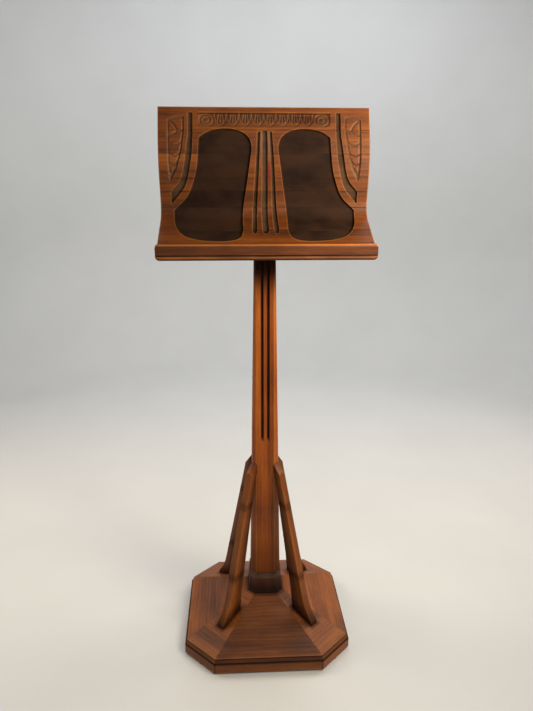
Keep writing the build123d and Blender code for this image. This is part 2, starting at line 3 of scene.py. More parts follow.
import bmesh
import bpy
import numpy as np
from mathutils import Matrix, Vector


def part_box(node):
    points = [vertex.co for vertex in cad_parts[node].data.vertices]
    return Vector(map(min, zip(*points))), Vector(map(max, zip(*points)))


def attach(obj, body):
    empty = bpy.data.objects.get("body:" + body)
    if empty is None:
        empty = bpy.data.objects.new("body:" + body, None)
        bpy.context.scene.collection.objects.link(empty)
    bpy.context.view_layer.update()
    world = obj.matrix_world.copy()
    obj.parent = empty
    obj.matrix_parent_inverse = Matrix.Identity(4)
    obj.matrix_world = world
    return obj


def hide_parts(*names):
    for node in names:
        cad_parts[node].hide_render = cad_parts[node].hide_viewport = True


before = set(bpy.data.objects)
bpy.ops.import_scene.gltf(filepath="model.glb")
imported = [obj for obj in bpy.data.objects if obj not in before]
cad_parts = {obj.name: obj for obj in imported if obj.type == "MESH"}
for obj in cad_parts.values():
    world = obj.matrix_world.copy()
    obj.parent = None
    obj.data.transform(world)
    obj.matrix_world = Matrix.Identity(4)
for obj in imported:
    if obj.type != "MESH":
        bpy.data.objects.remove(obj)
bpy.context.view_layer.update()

# Reader's view. The eye stands 1.38 m in front of the post, a little to its left and level
# with the lower half of the desk, and looks down about 15 degrees.
EYE_DISTANCE = 1.380
EYE_HEIGHT = 1.078
EYE_SIDE = math.radians(3.0)
EYE_DOWN = math.radians(14.71)
EYE_OFFSET = 0.0044  # how far the aim passes the post on the reader's right
FOCAL_LENGTH, PICTURE_SIDE = 30.62, 36.0  # mm; the second is the picture's longer side

camera = bpy.data.objects.new("reader_eye", bpy.data.cameras.new("reader_eye"))
camera.data.lens = FOCAL_LENGTH
camera.data.sensor_width = PICTURE_SIDE
c, s = math.cos(EYE_SIDE), math.sin(EYE_SIDE)
camera.location = (c * EYE_OFFSET - s * EYE_DISTANCE, -s * EYE_OFFSET - c * EYE_DISTANCE, EYE_HEIGHT)
camera.rotation_euler = (math.pi / 2 - EYE_DOWN, 0, -EYE_SIDE)
bpy.context.collection.objects.link(camera)
bpy.context.scene.camera = camera
bpy.context.scene.view_settings.view_transform = "Standard"


# Studio. A round white-grey floor that sweeps up into a wall on every side, well outside
# any viewpoint. The soft lights are a small warm window close on the reader's right, one high
# in front, one high behind that brightens the wall, and a warm one on either side.
def srgb(text):
    """Linear colour of an sRGB hex value such as "c8b090"."""
    part = np.array([int(text[i:i + 2], 16) for i in (0, 2, 4)]) / 255
    linear = np.where(part > 0.04045, ((part + 0.055) / 1.055) ** 2.4, part / 12.92)
    return (*linear.tolist(), 1.0)


def node(tree, kind, inputs=None, output=0, **settings):
    """Adds one node and returns its output.

    Inputs maps a socket's name or number to a value or to another node's output.
    """
    made = tree.nodes.new("ShaderNode" + kind)
    for name, value in settings.items():
        setattr(made, name, value)
    for socket, value in (inputs or {}).items():
        if isinstance(value, bpy.types.NodeSocket):
            tree.links.new(value, made.inputs[socket])
        else:
            made.inputs[socket].default_value = value
    return made.outputs[output] if made.outputs else None


def new_material(name):
    """An empty material and its node tree."""
    material = bpy.data.materials.new(name)
    material.use_nodes = True
    material.node_tree.nodes.clear()
    return material, material.node_tree


def finish_with(tree, inputs):
    """Ends a material in one shader with these inputs."""
    node(tree, "OutputMaterial", {"Surface": node(tree, "BsdfPrincipled", inputs)})


def grid_faces(rows, count, wrap):
    """Quads of a grid of rows of points; wrap joins each row's last point to its first."""
    row = np.arange(rows - 1)[:, None] * count
    here = np.arange(count if wrap else count - 1)[None, :]
    after = (here + 1) % count
    return np.stack([row + here, row + after, row + count + after, row + count + here], -1).reshape(-1, 4)


FLOOR_RADIUS, SWEEP_RADIUS, WALL_HEIGHT = 2.3, 0.9, 4.2


def studio_sweep():
    """Surface of revolution: flat to a radius, a quarter circle up, then a straight wall."""
    turn = np.linspace(0, math.pi / 2, 16)
    curve = SWEEP_RADIUS * np.stack([np.sin(turn), 1 - np.cos(turn)])
    out = np.concatenate([[0.001, 0.8, 1.6], FLOOR_RADIUS + curve[0], [FLOOR_RADIUS + SWEEP_RADIUS]])[:, None]
    up = np.concatenate([[0, 0, 0], curve[1], [WALL_HEIGHT]])[:, None]
    angle = np.linspace(0, 2 * math.pi, 96, endpoint=False)
    points = np.stack([out * np.cos(angle), out * np.sin(angle), up + 0 * angle], -1)
    mesh = bpy.data.meshes.new("studio_floor")
    mesh.from_pydata(points.reshape(-1, 3).tolist(), [], grid_faces(len(out), len(angle), True).tolist())
    mesh.polygons.foreach_set("use_smooth", [True] * len(mesh.polygons))
    floor = bpy.data.objects.new("studio_floor", mesh)
    bpy.context.collection.objects.link(floor)
    # Painted boards: a matt, nearly even light grey that takes soft shadows.
    material, tree = new_material("painted studio floor")
    place = node(tree, "TexCoord", output="Object")
    mottle = node(tree, "TexNoise", {"Vector": place, "Scale": 3.0, "Detail": 4.0}, "Fac")
    tint = node(tree, "ValToRGB", {"Fac": mottle})
    tint.node.color_ramp.elements[0].color = srgb("c2c4c5")
    tint.node.color_ramp.elements[1].color = srgb("cccecf")
    finish_with(tree, {"Base Color": tint, "Roughness": 0.7})
    mesh.materials.append(material)


def soft_light(name, place, aim, size, power, colour):
    """Square area light at a place, turned to face a point; size in metres, power in watts."""
    lamp = bpy.data.lights.new(name, "AREA")
    lamp.size = size
    lamp.energy = power
    lamp.color = srgb(colour)[:3]
    light = bpy.data.objects.new(name, lamp)
    light.location = place
    light.rotation_euler = (Vector(aim) - Vector(place)).to_track_quat("-Z", "Y").to_euler()
    light.visible_camera = False
    bpy.context.collection.objects.link(light)


studio_sweep()
soft_light("window_right", (0.62, -0.5, 1.2), (0.12, 0, 1.09), 0.34, 12, "ffeccc")
soft_light("high_front", (1.3, -2.1, 2.5), (0, 0, 0.4), 1.3, 28, "fffdf8")
soft_light("high_back", (0.3, 1.5, 2.7), (0, 2.2, 0.6), 1.6, 40, "fafcff")
soft_light("side_left", (-1.5, 0.5, 1.5), (0, 0, 0.1), 0.8, 18, "ffecd2")
soft_light("side_right", (1.5, 0.7, 1.5), (0, 0, 0.1), 0.8, 13, "ffecd2")
world = bpy.data.worlds.new("studio_air")
world.use_nodes = True
world.node_tree.nodes["Background"].inputs["Color"].default_value = srgb("f0f2f6")
world.node_tree.nodes["Background"].inputs["Strength"].default_value = 0.12
bpy.context.scene.world = world


# Base frame. Four long and four short rails of warm brown timber, mitred into a square with
# clipped corners and stood on edge; the outer arrises are rubbed round by feet and brooms.
MM = 0.001
draw = np.random.default_rng(7)
corner_names = ["back_right", "back_left", "front_left", "front_right"]
side_names = ["right", "back", "left", "front"]

low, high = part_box("frame_rail_right")
HALF = high.x / MM
FRAME_BOTTOM, FRAME_TOP = low.z / MM, high.z / MM
FRAME_WIDTH = (high.x - low.x) / MM
MITRE = high.y / MM  # half length of a long rail's outer face
CLIP_REACH = (HALF + MITRE) / math.sqrt(2)  # axis to a clipped corner's face
HALF_TURN = math.tan(math.pi / 8)  # how fast a rail shortens inwards at its mitres


def piece(name, points, faces, finish, body, nodes, along=(1, 0, 0), marks=None, grain=None):
    """Makes one solid from points in millimetres.

    The grain attribute is each point's place along, across and through its own board, moved
    by a random amount so that no two boards show the same figure. Marks say, from 0 to 1,
    how pale each arris is, from rubbing and from painted highlight; how dark each point is,
    from dirt and from painted shade; and how dusty or painted it is. Tone makes a board
    lighter or darker, at random unless it is given; on the base the given tones also paint
    light and shade.
    """
    mesh = bpy.data.meshes.new(name)
    mesh.from_pydata((points * MM).tolist(), [], faces)
    along = np.array(along, float) / np.linalg.norm(along)
    side = np.cross(along, (0, 0, 1)) if abs(along[2]) < 0.9 else np.cross(along, (0, 1, 0))
    side = side / np.linalg.norm(side)
    axes = np.stack([along, side, np.cross(along, side)], 1)
    grain = (points @ axes if grain is None else grain) * MM + draw.uniform(0, 4, 3)
    attribute = mesh.attributes.new("grain", "FLOAT_VECTOR", "POINT")
    attribute.data.foreach_set("vector", grain.astype(np.float32).ravel())
    clean = dict.fromkeys(("edge", "dirt_and_shade", "dust", "paint"), 0.0)
    marks = {**clean, "tone": draw.uniform(-1, 1), **(marks or {})}
    for word, value in marks.items():
        attribute = mesh.attributes.new(word, "FLOAT", "POINT")
        attribute.data.foreach_set("value", np.broadcast_to(value, len(points)).astype(np.float32))
    work = bmesh.new()
    work.from_mesh(mesh)
    bmesh.ops.recalc_face_normals(work, faces=work.faces)
    work.to_mesh(mesh)
    work.free()
    mesh.polygons.foreach_set("use_smooth", [True] * len(mesh.polygons))
    mesh.set_sharp_from_angle(angle=math.radians(42))
    mesh.materials.append(finish)
    made = bpy.data.objects.new(name, mesh)
    bpy.context.collection.objects.link(made)
    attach(made, body)
    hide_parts(*nodes)
    return made


def lofted(sections):
    """Closed skin through like-numbered loops, rows x points x 3, with a fan on each end."""
    rows, count, _ = sections.shape
    points = np.concatenate([sections.reshape(-1, 3), sections[:1].mean(1), sections[-1:].mean(1)])
    here = np.arange(count)
    after = (here + 1) % count
    first, last = rows * count, rows * count + 1
    top = (rows - 1) * count
    fans = np.concatenate([
        np.stack([after, here, 0 * here + first], 1),
        np.stack([top + here, top + after, 0 * here + last], 1),
    ])
    return points, grid_faces(rows, count, True).tolist() + fans.tolist()


def on_skin(values):
    """A mark given per section point, rows x points, laid out like lofted's points."""
    return np.concatenate([values.ravel(), values[:1].mean(1), values[-1:].mean(1)])


def rounded(corners, radius, reach=4.0, steps=4):
    """Loop through a polygon's corners with each arris turned on a small arc.

    Each corner gives one point a short way before the arc, the arc's points, and one after.
    Corners may be ... x n x 2. The second result is 1 on the arcs and 0 beside them.
    """
    corners = np.array(corners, float)
    before = np.roll(corners, 1, -2) - corners
    ahead = np.roll(corners, -1, -2) - corners
    size_a = np.linalg.norm(before, axis=-1, keepdims=True)
    size_b = np.linalg.norm(ahead, axis=-1, keepdims=True)
    a, b = before / size_a, ahead / size_b
    half = np.arccos(np.clip((a * b).sum(-1, keepdims=True), -1, 0.9999)) / 2
    room = 0.3 * np.minimum(size_a, size_b) * np.tan(half)
    radius = np.minimum(np.broadcast_to(radius, corners.shape[:-1])[..., None], room)
    run = radius / np.tan(half)
    aim = (a + b) / np.linalg.norm(a + b, axis=-1, keepdims=True)
    centre = corners + aim * radius / np.sin(half)
    start = (corners + a * run - centre)[..., None, :]
    end = (corners + b * run - centre)[..., None, :]
    sweep = (math.pi - 2 * half)[..., None]
    share = np.linspace(0, 1, steps + 1)[:, None]
    arc = (np.sin((1 - share) * sweep) * start + np.sin(share * sweep) * end) / np.sin(sweep)
    beside_a = corners + a * np.minimum(run + reach, 0.48 * size_a)
    beside_b = corners + b * np.minimum(run + reach, 0.48 * size_b)
    loop = np.concatenate([beside_a[..., None, :], centre[..., None, :] + arc, beside_b[..., None, :]], -2)
    mark = np.concatenate([[0.0], np.ones(steps + 1), [0.0]])
    return loop.reshape(*corners.shape[:-2], -1, 2), np.tile(mark, corners.shape[-2])


def turned(points, degrees):
    """Points turned about the Z axis."""
    c, s = math.cos(math.radians(degrees)), math.sin(math.radians(degrees))
    return points @ np.array([[c, s, 0], [-s, c, 0], [0, 0, 1.0]])


def waxed_wood(name, late, early, pale, paler, stain, gloss=0.42, arris_paleness=0.45):
    """Old waxed hardwood: growth bands, fibre streaks, pores, rubbed arrises, dark stain.

    The figure is noise stretched along the board; bands lie about 9 mm apart, streaks 2 mm
    and pores 1.2 mm, two to four times the real ones so that they show at arm's length. Its
    strength is 0.95 broad + 0.13 bands + 0.38 fibres + 0.4 blotch - 0.39, and runs from the
    late colour over the early one to the pale one. Each cover then lies over it in turn. The
    pale arris cover holds rubbing and painted highlight, and the dark stain cover holds dirt
    and painted shade.
    """
    material, tree = new_material(name)
    marks = {word: node(tree, "Attribute", output="Fac", attribute_name=word)
             for word in ("edge", "dirt_and_shade", "dust", "paint", "tone")}
    board = node(tree, "Attribute", output="Vector", attribute_name="grain")
    layers = {}
    for layer, stretch, detail, roughness, distortion in (
            ("broad", (2.2, 26, 26), 3, 0.5, 0.6), ("fibres", (24, 700, 700), 3, 0.6, 0.0),
            ("pores", (70, 850, 850), 2, 0.5, 0.0), ("blotch", (9, 13, 13), 4, 0.6, 0.0)):
        place = node(tree, "VectorMath", {0: board, 1: stretch}, operation="MULTIPLY")
        layers[layer] = node(tree, "TexNoise", {"Vector": place, "Scale": 1.0, "Detail": detail,
                                                "Roughness": roughness, "Distortion": distortion}, "Fac")
    place = node(tree, "VectorMath", {0: board, 1: (0.12, 1, 1)}, operation="MULTIPLY")
    bands = node(tree, "TexWave", {"Vector": place, "Scale": 34.0, "Distortion": 5.0, "Detail": 3.0,
                                   "Detail Scale": 1.6, "Detail Roughness": 0.6}, "Fac",
                 wave_type="BANDS", bands_direction="Y", wave_profile="SAW")
    fibres, blotch = layers["fibres"], layers["blotch"]
    figure = -0.39
    for layer, weight in ((layers["broad"], 0.95), (bands, 0.13), (fibres, 0.38), (blotch, 0.4)):
        figure = node(tree, "Math", {0: layer, 1: weight, 2: figure}, operation="MULTIPLY_ADD")
    colour = node(tree, "ValToRGB", {"Fac": figure})
    ramp = colour.node.color_ramp
    ramp.elements[0].position, ramp.elements[0].color = 0.28, srgb(late)
    ramp.elements[1].position, ramp.elements[1].color = 0.86, srgb(pale)
    ramp.elements.new(0.56).color = srgb(early)
    value = node(tree, "Math", {0: marks["tone"], 1: 0.1, 2: 1.0}, operation="MULTIPLY_ADD")
    colour = node(tree, "HueSaturation", {"Color": colour, "Value": value})

    # Covers, each an amount and a colour: open pores, pale arrises from rubbing and painted highlight, dirt
    # with painted shade, dust and old paint.
    pores = node(tree, "MapRange", {"Value": layers["pores"], "From Min": 0.58, "From Max": 0.72}, clamp=True)
    open_pores = node(tree, "Math", {0: pores, 1: 0.5}, operation="MULTIPLY")
    # Pale arrises: rubbing, and painted highlight where the edge mark is one.
    pale_arrises = node(tree, "Math", {0: blotch, 1: 0.9, 2: marks["edge"]}, operation="MULTIPLY_ADD")
    pale_arrises = node(tree, "MapRange", {"Value": pale_arrises, "From Min": 0.75, "From Max": 1.5, "To Max": arris_paleness},
                  clamp=True)
    ground = node(tree, "Math", {0: fibres, 1: 0.5, 2: blotch}, operation="MULTIPLY_ADD")
    ground = node(tree, "MapRange", {"Value": ground, "From Min": 0.65, "From Max": 1.5}, clamp=True)
    ground = node(tree, "Mix", {"Factor": ground, 6: srgb(stain), 7: srgb(late)}, 2, data_type="RGBA")
    covers = [(open_pores, srgb(late)), (pale_arrises, srgb(paler))]
    # The dark cover serves dirt and painted shade alike.
    for mark, low, high, strength, over in (("dirt_and_shade", -0.3, 0.3, 1.0, ground),
                                            ("dust", 0.3, 0.55, 0.7, srgb("6c5440")),
                                            ("paint", 0.36, 0.56, 1.0, srgb("6a1c0e"))):
        patchy = node(tree, "MapRange", {"Value": blotch, "From Min": low, "From Max": high}, clamp=True)
        amount = node(tree, "Math", {0: marks[mark], 1: patchy}, operation="MULTIPLY", use_clamp=True)
        covers.append((node(tree, "Math", {0: amount, 1: strength}, operation="MULTIPLY"), over))
    for amount, over in covers:
        colour = node(tree, "Mix", {"Factor": amount, 6: colour, 7: over}, 2, data_type="RGBA")

    rough = node(tree, "MapRange", {"Value": blotch, "To Min": gloss - 0.08, "To Max": gloss + 0.14})
    rough = node(tree, "Math", {0: marks["dirt_and_shade"], 1: 0.22, 2: rough}, operation="MULTIPLY_ADD")
    gleam = node(tree, "Math", {0: marks["dirt_and_shade"], 1: -0.2, 2: 0.3}, operation="MULTIPLY_ADD", use_clamp=True)
    height = node(tree, "Math", {0: pores, 1: -0.8}, operation="MULTIPLY")
    height = node(tree, "Math", {0: fibres, 1: 0.6, 2: height}, operation="MULTIPLY_ADD")
    bump = node(tree, "Bump", {"Height": height, "Strength": 0.35, "Distance": 0.0005})
    finish_with(tree, {"Base Color": colour, "Roughness": rough, "IOR": 1.48,
                       "Specular IOR Level": gleam, "Normal": bump})
    return material


# Hardwood, planed, stained and waxed: a satin mid brown with broad bands, and honey where
# feet and brooms have rubbed the arrises and as painted highlight along the rim's bead.
base_wood = waxed_wood("waxed brown hardwood, base", "3a1c0a", "6c3812", "8e521e", "ac7034", "1e0e06",
                       gloss=0.46, arris_paleness=0.3)


def frame_rail(name, degrees, reach, half_length, tone):
    """Rounded rectangle carried from mitre to mitre; its length shrinks inwards."""
    inner = reach - FRAME_WIDTH
    corners = [(reach, FRAME_BOTTOM), (reach, FRAME_TOP), (inner, FRAME_TOP), (inner, FRAME_BOTTOM)]
    loop, mark = rounded(corners, [2.2, 1.0, 0.6, 1.0])
    share = np.concatenate([[-1, -0.995], np.linspace(-0.96, 0.96, 12), [0.995, 1]])
    inset = np.where(np.abs(share) == 1, 0.35, 0.0)[:, None]
    middle = np.array([reach - FRAME_WIDTH / 2, (FRAME_TOP + FRAME_BOTTOM) / 2])
    out = loop[None, :, 0] + inset * np.sign(middle[0] - loop[None, :, 0])
    up = loop[None, :, 1] + inset * np.sign(middle[1] - loop[None, :, 1])
    along = share[:, None] * (half_length + (out - reach) * HALF_TURN)
    points, faces = lofted(turned(np.stack([out, along, up], -1), degrees))
    # Darker at the mitres, along the top where the board's cove sits on the rail, and along the bottom.
    ends = np.where(np.abs(share) > 0.98, 0.5, 0.0)[:, None]
    dirt_and_shade = on_skin(np.clip(ends + 0.9 * (up > FRAME_TOP - 1.5) + 0.4 * (up < FRAME_BOTTOM + 2), 0, 1))
    near_mitre = 0.8 * (np.abs(share) > 0.95)[:, None]
    edge = on_skin(np.maximum(mark * (up < FRAME_TOP - 4), near_mitre * mark))
    direction = turned(np.array([[0, 1.0, 0]]), degrees)[0]
    piece(name, points, faces, base_wood, "stand", [name], direction,
          {"edge": edge, "dirt_and_shade": dirt_and_shade, "tone": tone})


for turn, side in enumerate(side_names):
    frame_rail(f"frame_rail_{side}", 90 * turn, HALF, MITRE, (0.6, 0.2, 0.4, -0.3)[turn])
# The front left (2.4) and front right (1.4) clips are made lighter by tone as painted light.
for turn, corner in enumerate(corner_names):
    frame_rail(f"frame_clip_{corner}", 45 + 90 * turn, CLIP_REACH, (HALF - MITRE) / math.sqrt(2),
               (0.3, -0.2, 2.4, 1.4)[turn])


# Sloping top of the base. Eight boards of the same timber rise from a moulded rim to the
# collar and meet in mitred hips; each runs its grain along its own edge of the base.
COLLAR_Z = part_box("base_board_right")[1].z / MM
RIM = FRAME_TOP + 11
RIM_INSET = 6.4  # the rim stands this far inside the frame's outer face
RIM_HALF, RIM_DIAGONAL = HALF - RIM_INSET, CLIP_REACH - RIM_INSET
RIM_STRETCH = RIM_DIAGONAL / RIM_HALF
COLLAR_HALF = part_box("collar")[1].x / MM - 0.7
BOARD_DROP = 17.0
TOE, HEEL = 163.5, 101.5  # reach of the outer and inner end of a brace's foot


def sloping_board(name, degrees, stretch, spread, tone, braced):
    """Side profile of the top, scaled outwards by stretch, spread either way to its hips.

    Across the board the distance along the edge is the share times the reach times the
    tangent of the spread. The rim is a cove under a bead. The bead carries a painted
    highlight and the cove's inner corners painted shade. Each board darkens near the collar,
    and a braced board darkens round the foot that stands on it, partly with dirt and partly
    with the brace's painted shadow.
    """
    slope = (COLLAR_Z - RIM) / (RIM_HALF - COLLAR_HALF)
    turn = np.linspace(0, math.pi / 2, 6)
    cove = [(HALF - 1.5 - 4.2 * math.sin(t), FRAME_TOP + 8.0 - 7.0 * math.cos(t)) for t in turn]
    profile = [(HALF - 1.2, FRAME_TOP + 0.3), *cove, (RIM_HALF + 1.3, FRAME_TOP + 8.6)]
    profile += [(RIM_HALF + 1.4, RIM - 1.0), (RIM_HALF + 0.6, RIM - 0.1), (RIM_HALF - 1.0, RIM + 0.35)]
    rise = np.linspace(3, RIM_HALF - COLLAR_HALF, 30)
    profile += [(RIM_HALF - r, RIM + slope * r) for r in rise]
    profile += [(COLLAR_HALF, COLLAR_Z - BOARD_DROP), (HALF - 20.8, FRAME_TOP + 0.3)]
    profile = np.array(profile)
    # Painted highlight along the rim's bead.
    marks = np.zeros(len(profile))
    marks[7:11] = [0.5, 0.8, 0.8, 0.5]
    # Painted shade in the cove's inner corners.
    cove_shade = np.zeros(len(profile))
    cove_shade[0:9] = [1, 1, 0.6, 0.3, 0.2, 0.2, 0.4, 0.8, 0.9]
    share = np.concatenate([[-1, -0.994, -0.97], np.linspace(-0.9, 0.9, 24), [0.97, 0.994, 1]])
    groove = np.where(np.abs(share) == 1, 0.45, 0.0)[:, None]
    out = profile[None, :, 0] * stretch + 0 * share[:, None]
    up = profile[None, :, 1] - groove * (profile[None, :, 0] > COLLAR_HALF)
    along = share[:, None] * out * math.tan(spread)
    points, faces = lofted(turned(np.stack([out, along, up], -1), degrees))
    joint = np.where(np.abs(share) == 1, 0.8, 0.0)[:, None]
    # Darker near the collar; round a brace's foot, dirt and the brace's painted shadow.
    near_post = np.clip(1 - (out / stretch - COLLAR_HALF) / 9, 0, 1) ** 1.5
    from_foot = np.maximum(np.abs(along) - 9, np.maximum(HEEL - 0.5 - out, out - TOE + 0.5))
    near_foot = braced * np.exp(-(np.maximum(from_foot, 0) / 6) ** 2)
    dirt_and_shade = on_skin(np.clip(cove_shade[None, :] + joint + 0.9 * near_post + 0.9 * near_foot, 0, 1))
    edge = on_skin(np.clip(marks[None, :] + 0.35 * (np.abs(share) > 0.96)[:, None] + 0 * out, 0, 1))
    direction = turned(np.array([[0, 1.0, 0]]), degrees)[0]
    piece(name, points, faces, base_wood, "stand", [name], direction,
          {"edge": edge, "dirt_and_shade": dirt_and_shade, "tone": tone})


hip_angle = math.atan(2 * RIM_STRETCH / math.sqrt(2) - 1)
# These tones paint light and shade: the right (2.4) and left (2.6) boards are lightened as painted sheen, the
# front board (-3.4) darkened as painted shade.
for turn, side in enumerate(side_names):
    sloping_board(f"base_board_{side}", 90 * turn, 1.0, hip_angle, (2.4, 0.6, 2.6, -3.4)[turn], 0)
for turn, corner in enumerate(corner_names):
    sloping_board(f"base_corner_{corner}", 45 + 90 * turn, RIM_STRETCH, math.pi / 4 - hip_angle,
                  (0.8, 0.4, -0.4, 0.6)[turn], 1)


# Pads, crossed bearers and socket block. Four stained hardwood discs are screwed under the
# clipped corners. Inside the base two plain bearers are half-lapped, and a block glued on
# them holds the wedged foot of the post.
def worn_copy(name, finish, body, along, softness=0.6):
    """A closed copy of a CAD node with small rounded arrises and its own figure."""
    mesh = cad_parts[name].data
    work = bmesh.new()
    work.from_mesh(mesh)
    bmesh.ops.remove_doubles(work, verts=work.verts, dist=1e-6)
    work.verts.ensure_lookup_table()
    points = np.array([v.co for v in work.verts]) / MM
    faces = [[v.index for v in f.verts] for f in work.faces]
    work.free()
    made = piece(name + "_worn", points, faces, finish, body, [name], along)
    bevel = made.modifiers.new("soft arrises", "BEVEL")
    bevel.width = softness * MM
    bevel.segments = 2
    bevel.limit_method = "ANGLE"
    bevel.angle_limit = math.radians(35)
    return made


# Hardwood turned and stained nearly black: the figure only just shows, under a soft shine.
stained_wood = waxed_wood("dark stained hardwood", "1c0e07", "33190d", "472616", "7a4c2c", "140a06",
                          gloss=0.38)
worn_copy("foot_pads", stained_wood, "stand", (1, 0, 0))


def plain_wood(name):
    """Sawn softwood, never finished: straight growth lines, open fibres, no shine."""
    material, tree = new_material(name)
    place = node(tree, "TexCoord", output="Object")
    place = node(tree, "VectorMath", {0: place, 1: (6, 180, 90)}, operation="MULTIPLY")
    lines = node(tree, "TexNoise", {"Vector": place, "Scale": 1.0, "Detail": 5.0, "Distortion": 0.4}, "Fac")
    tint = node(tree, "ValToRGB", {"Fac": lines})
    dark, light = tint.node.color_ramp.elements
    dark.position, dark.color = 0.3, srgb("8a6038")
    light.position, light.color = 0.7, srgb("c49a66")
    bump = node(tree, "Bump", {"Height": lines, "Strength": 0.3, "Distance": 0.0006})
    finish_with(tree, {"Base Color": tint, "Roughness": 0.78, "Normal": bump})
    return material


def metal(name, colour, dull, roughness):
    """Handled metal: fine turned marks 0.7 mm apart, duller tarnish in patches of 6 mm."""
    material, tree = new_material(name)
    place = node(tree, "TexCoord", output="Object")
    patch = node(tree, "TexNoise", {"Vector": place, "Scale": 160.0, "Detail": 4.0}, "Fac")
    tint = node(tree, "ValToRGB", {"Fac": patch})
    dark, light = tint.node.color_ramp.elements
    dark.position, dark.color = 0.38, srgb(dull)
    light.position, light.color = 0.62, srgb(colour)
    marks = node(tree, "TexNoise", {"Vector": place, "Scale": 1400.0, "Detail": 2.0}, "Fac")
    rough = node(tree, "MapRange", {"Value": patch, "To Min": roughness + 0.2, "To Max": roughness})
    bump = node(tree, "Bump", {"Height": marks, "Strength": 0.2, "Distance": 0.0001})
    finish_with(tree, {"Base Color": tint, "Metallic": 1.0, "Roughness": rough, "Normal": bump})
    return material


def leather(name):
    """Friction leather: a pebbled grain about 1 mm across, darker in patches."""
    material, tree = new_material(name)
    place = node(tree, "TexCoord", output="Object")
    pebble = node(tree, "TexVoronoi", {"Vector": place, "Scale": 900.0}, "Distance", feature="SMOOTH_F1")
    stain = node(tree, "TexNoise", {"Vector": place, "Scale": 120.0, "Detail": 3.0}, "Fac")
    tint = node(tree, "ValToRGB", {"Fac": stain})
    dark, light = tint.node.color_ramp.elements
    dark.color, light.color = srgb("2c1a10"), srgb("5a3a22")
    bump = node(tree, "Bump", {"Height": pebble, "Strength": 0.4, "Distance": 0.0004})
    finish_with(tree, {"Base Color": tint, "Roughness": 0.62, "Normal": bump})
    return material


def dress(finish, *names):
    """Gives CAD nodes whose shape stays a finish of their own."""
    for name in names:
        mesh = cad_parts[name].data
        mesh.materials.clear()
        mesh.materials.append(finish)


# Sawn pale softwood that nobody sees; brass worn to a warm sheen with brown in patches;
# screws of blued steel, grey with darker patches.
inner_wood = plain_wood("unfinished softwood")
brass = metal("aged brass", "b08d4c", "6b4f28", 0.32)
steel = metal("blued steel", "8d8f92", "4a4744", 0.34)
dress(inner_wood, "bearer_lower", "bearer_upper", "socket_block", "tenon_wedges", "brace_dowels",
      "rail_dowels", "yoke_dowels")
dress(steel, "pad_screws", "bearer_screws", "brace_screws", "batten_screws", "yoke_screws")
dress(brass, "pivot_bolt", "bolt_washers", "knob_insert")


# Post. One tapering length of the same timber, square with cut corners, its grain upright.
# Two round-bottomed flutes run up each face from a stopped end; the tenon below and the
# rounded tongue above are cut from the same piece.

# Waxed hardwood of a redder, clearer brown than the base, which soft side light turns orange.
post_wood = waxed_wood("waxed brown hardwood, post", "58270a", "90460e", "ae5e15", "c07e30", "1a0a03",
                       gloss=0.46, arris_paleness=0.3)

TENON_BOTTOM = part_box("column")[0].z / MM
POST_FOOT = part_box("socket_block")[1].z / MM
POST_TOP = 964.0
FLUTE_START = 518.0
FLUTE_RADIUS, FLUTE_X, FLUTE_LIFT = 3.6, 7.0, 0.3
up_axis = (0, 0, 1)


def octagon(half, leg):
    """Square of that half width with its corners cut by the leg; arrays give rows of them."""
    near = half - leg
    quarter = [(half, near), (near, half)]
    points = []
    for turn in range(4):
        c, s = round(math.cos(turn * math.pi / 2)), round(math.sin(turn * math.pi / 2))
        points += [np.stack([c * x - s * y, s * x + c * y], -1) for x, y in quarter]
    return np.stack(points, -2)


def post_half(z):
    """Half the post's width at a height: 38 mm at the foot, tapering evenly to 23.9 mm."""
    return 38.0 - 14.1 * (z - POST_FOOT) / (POST_TOP - POST_FOOT)


def post_leg(z):
    """Leg of the cut corner at a height: 14.4 mm at the foot, narrowing evenly to 3 mm."""
    return 14.4 - 11.4 * (z - POST_FOOT) / (POST_TOP - POST_FOOT)


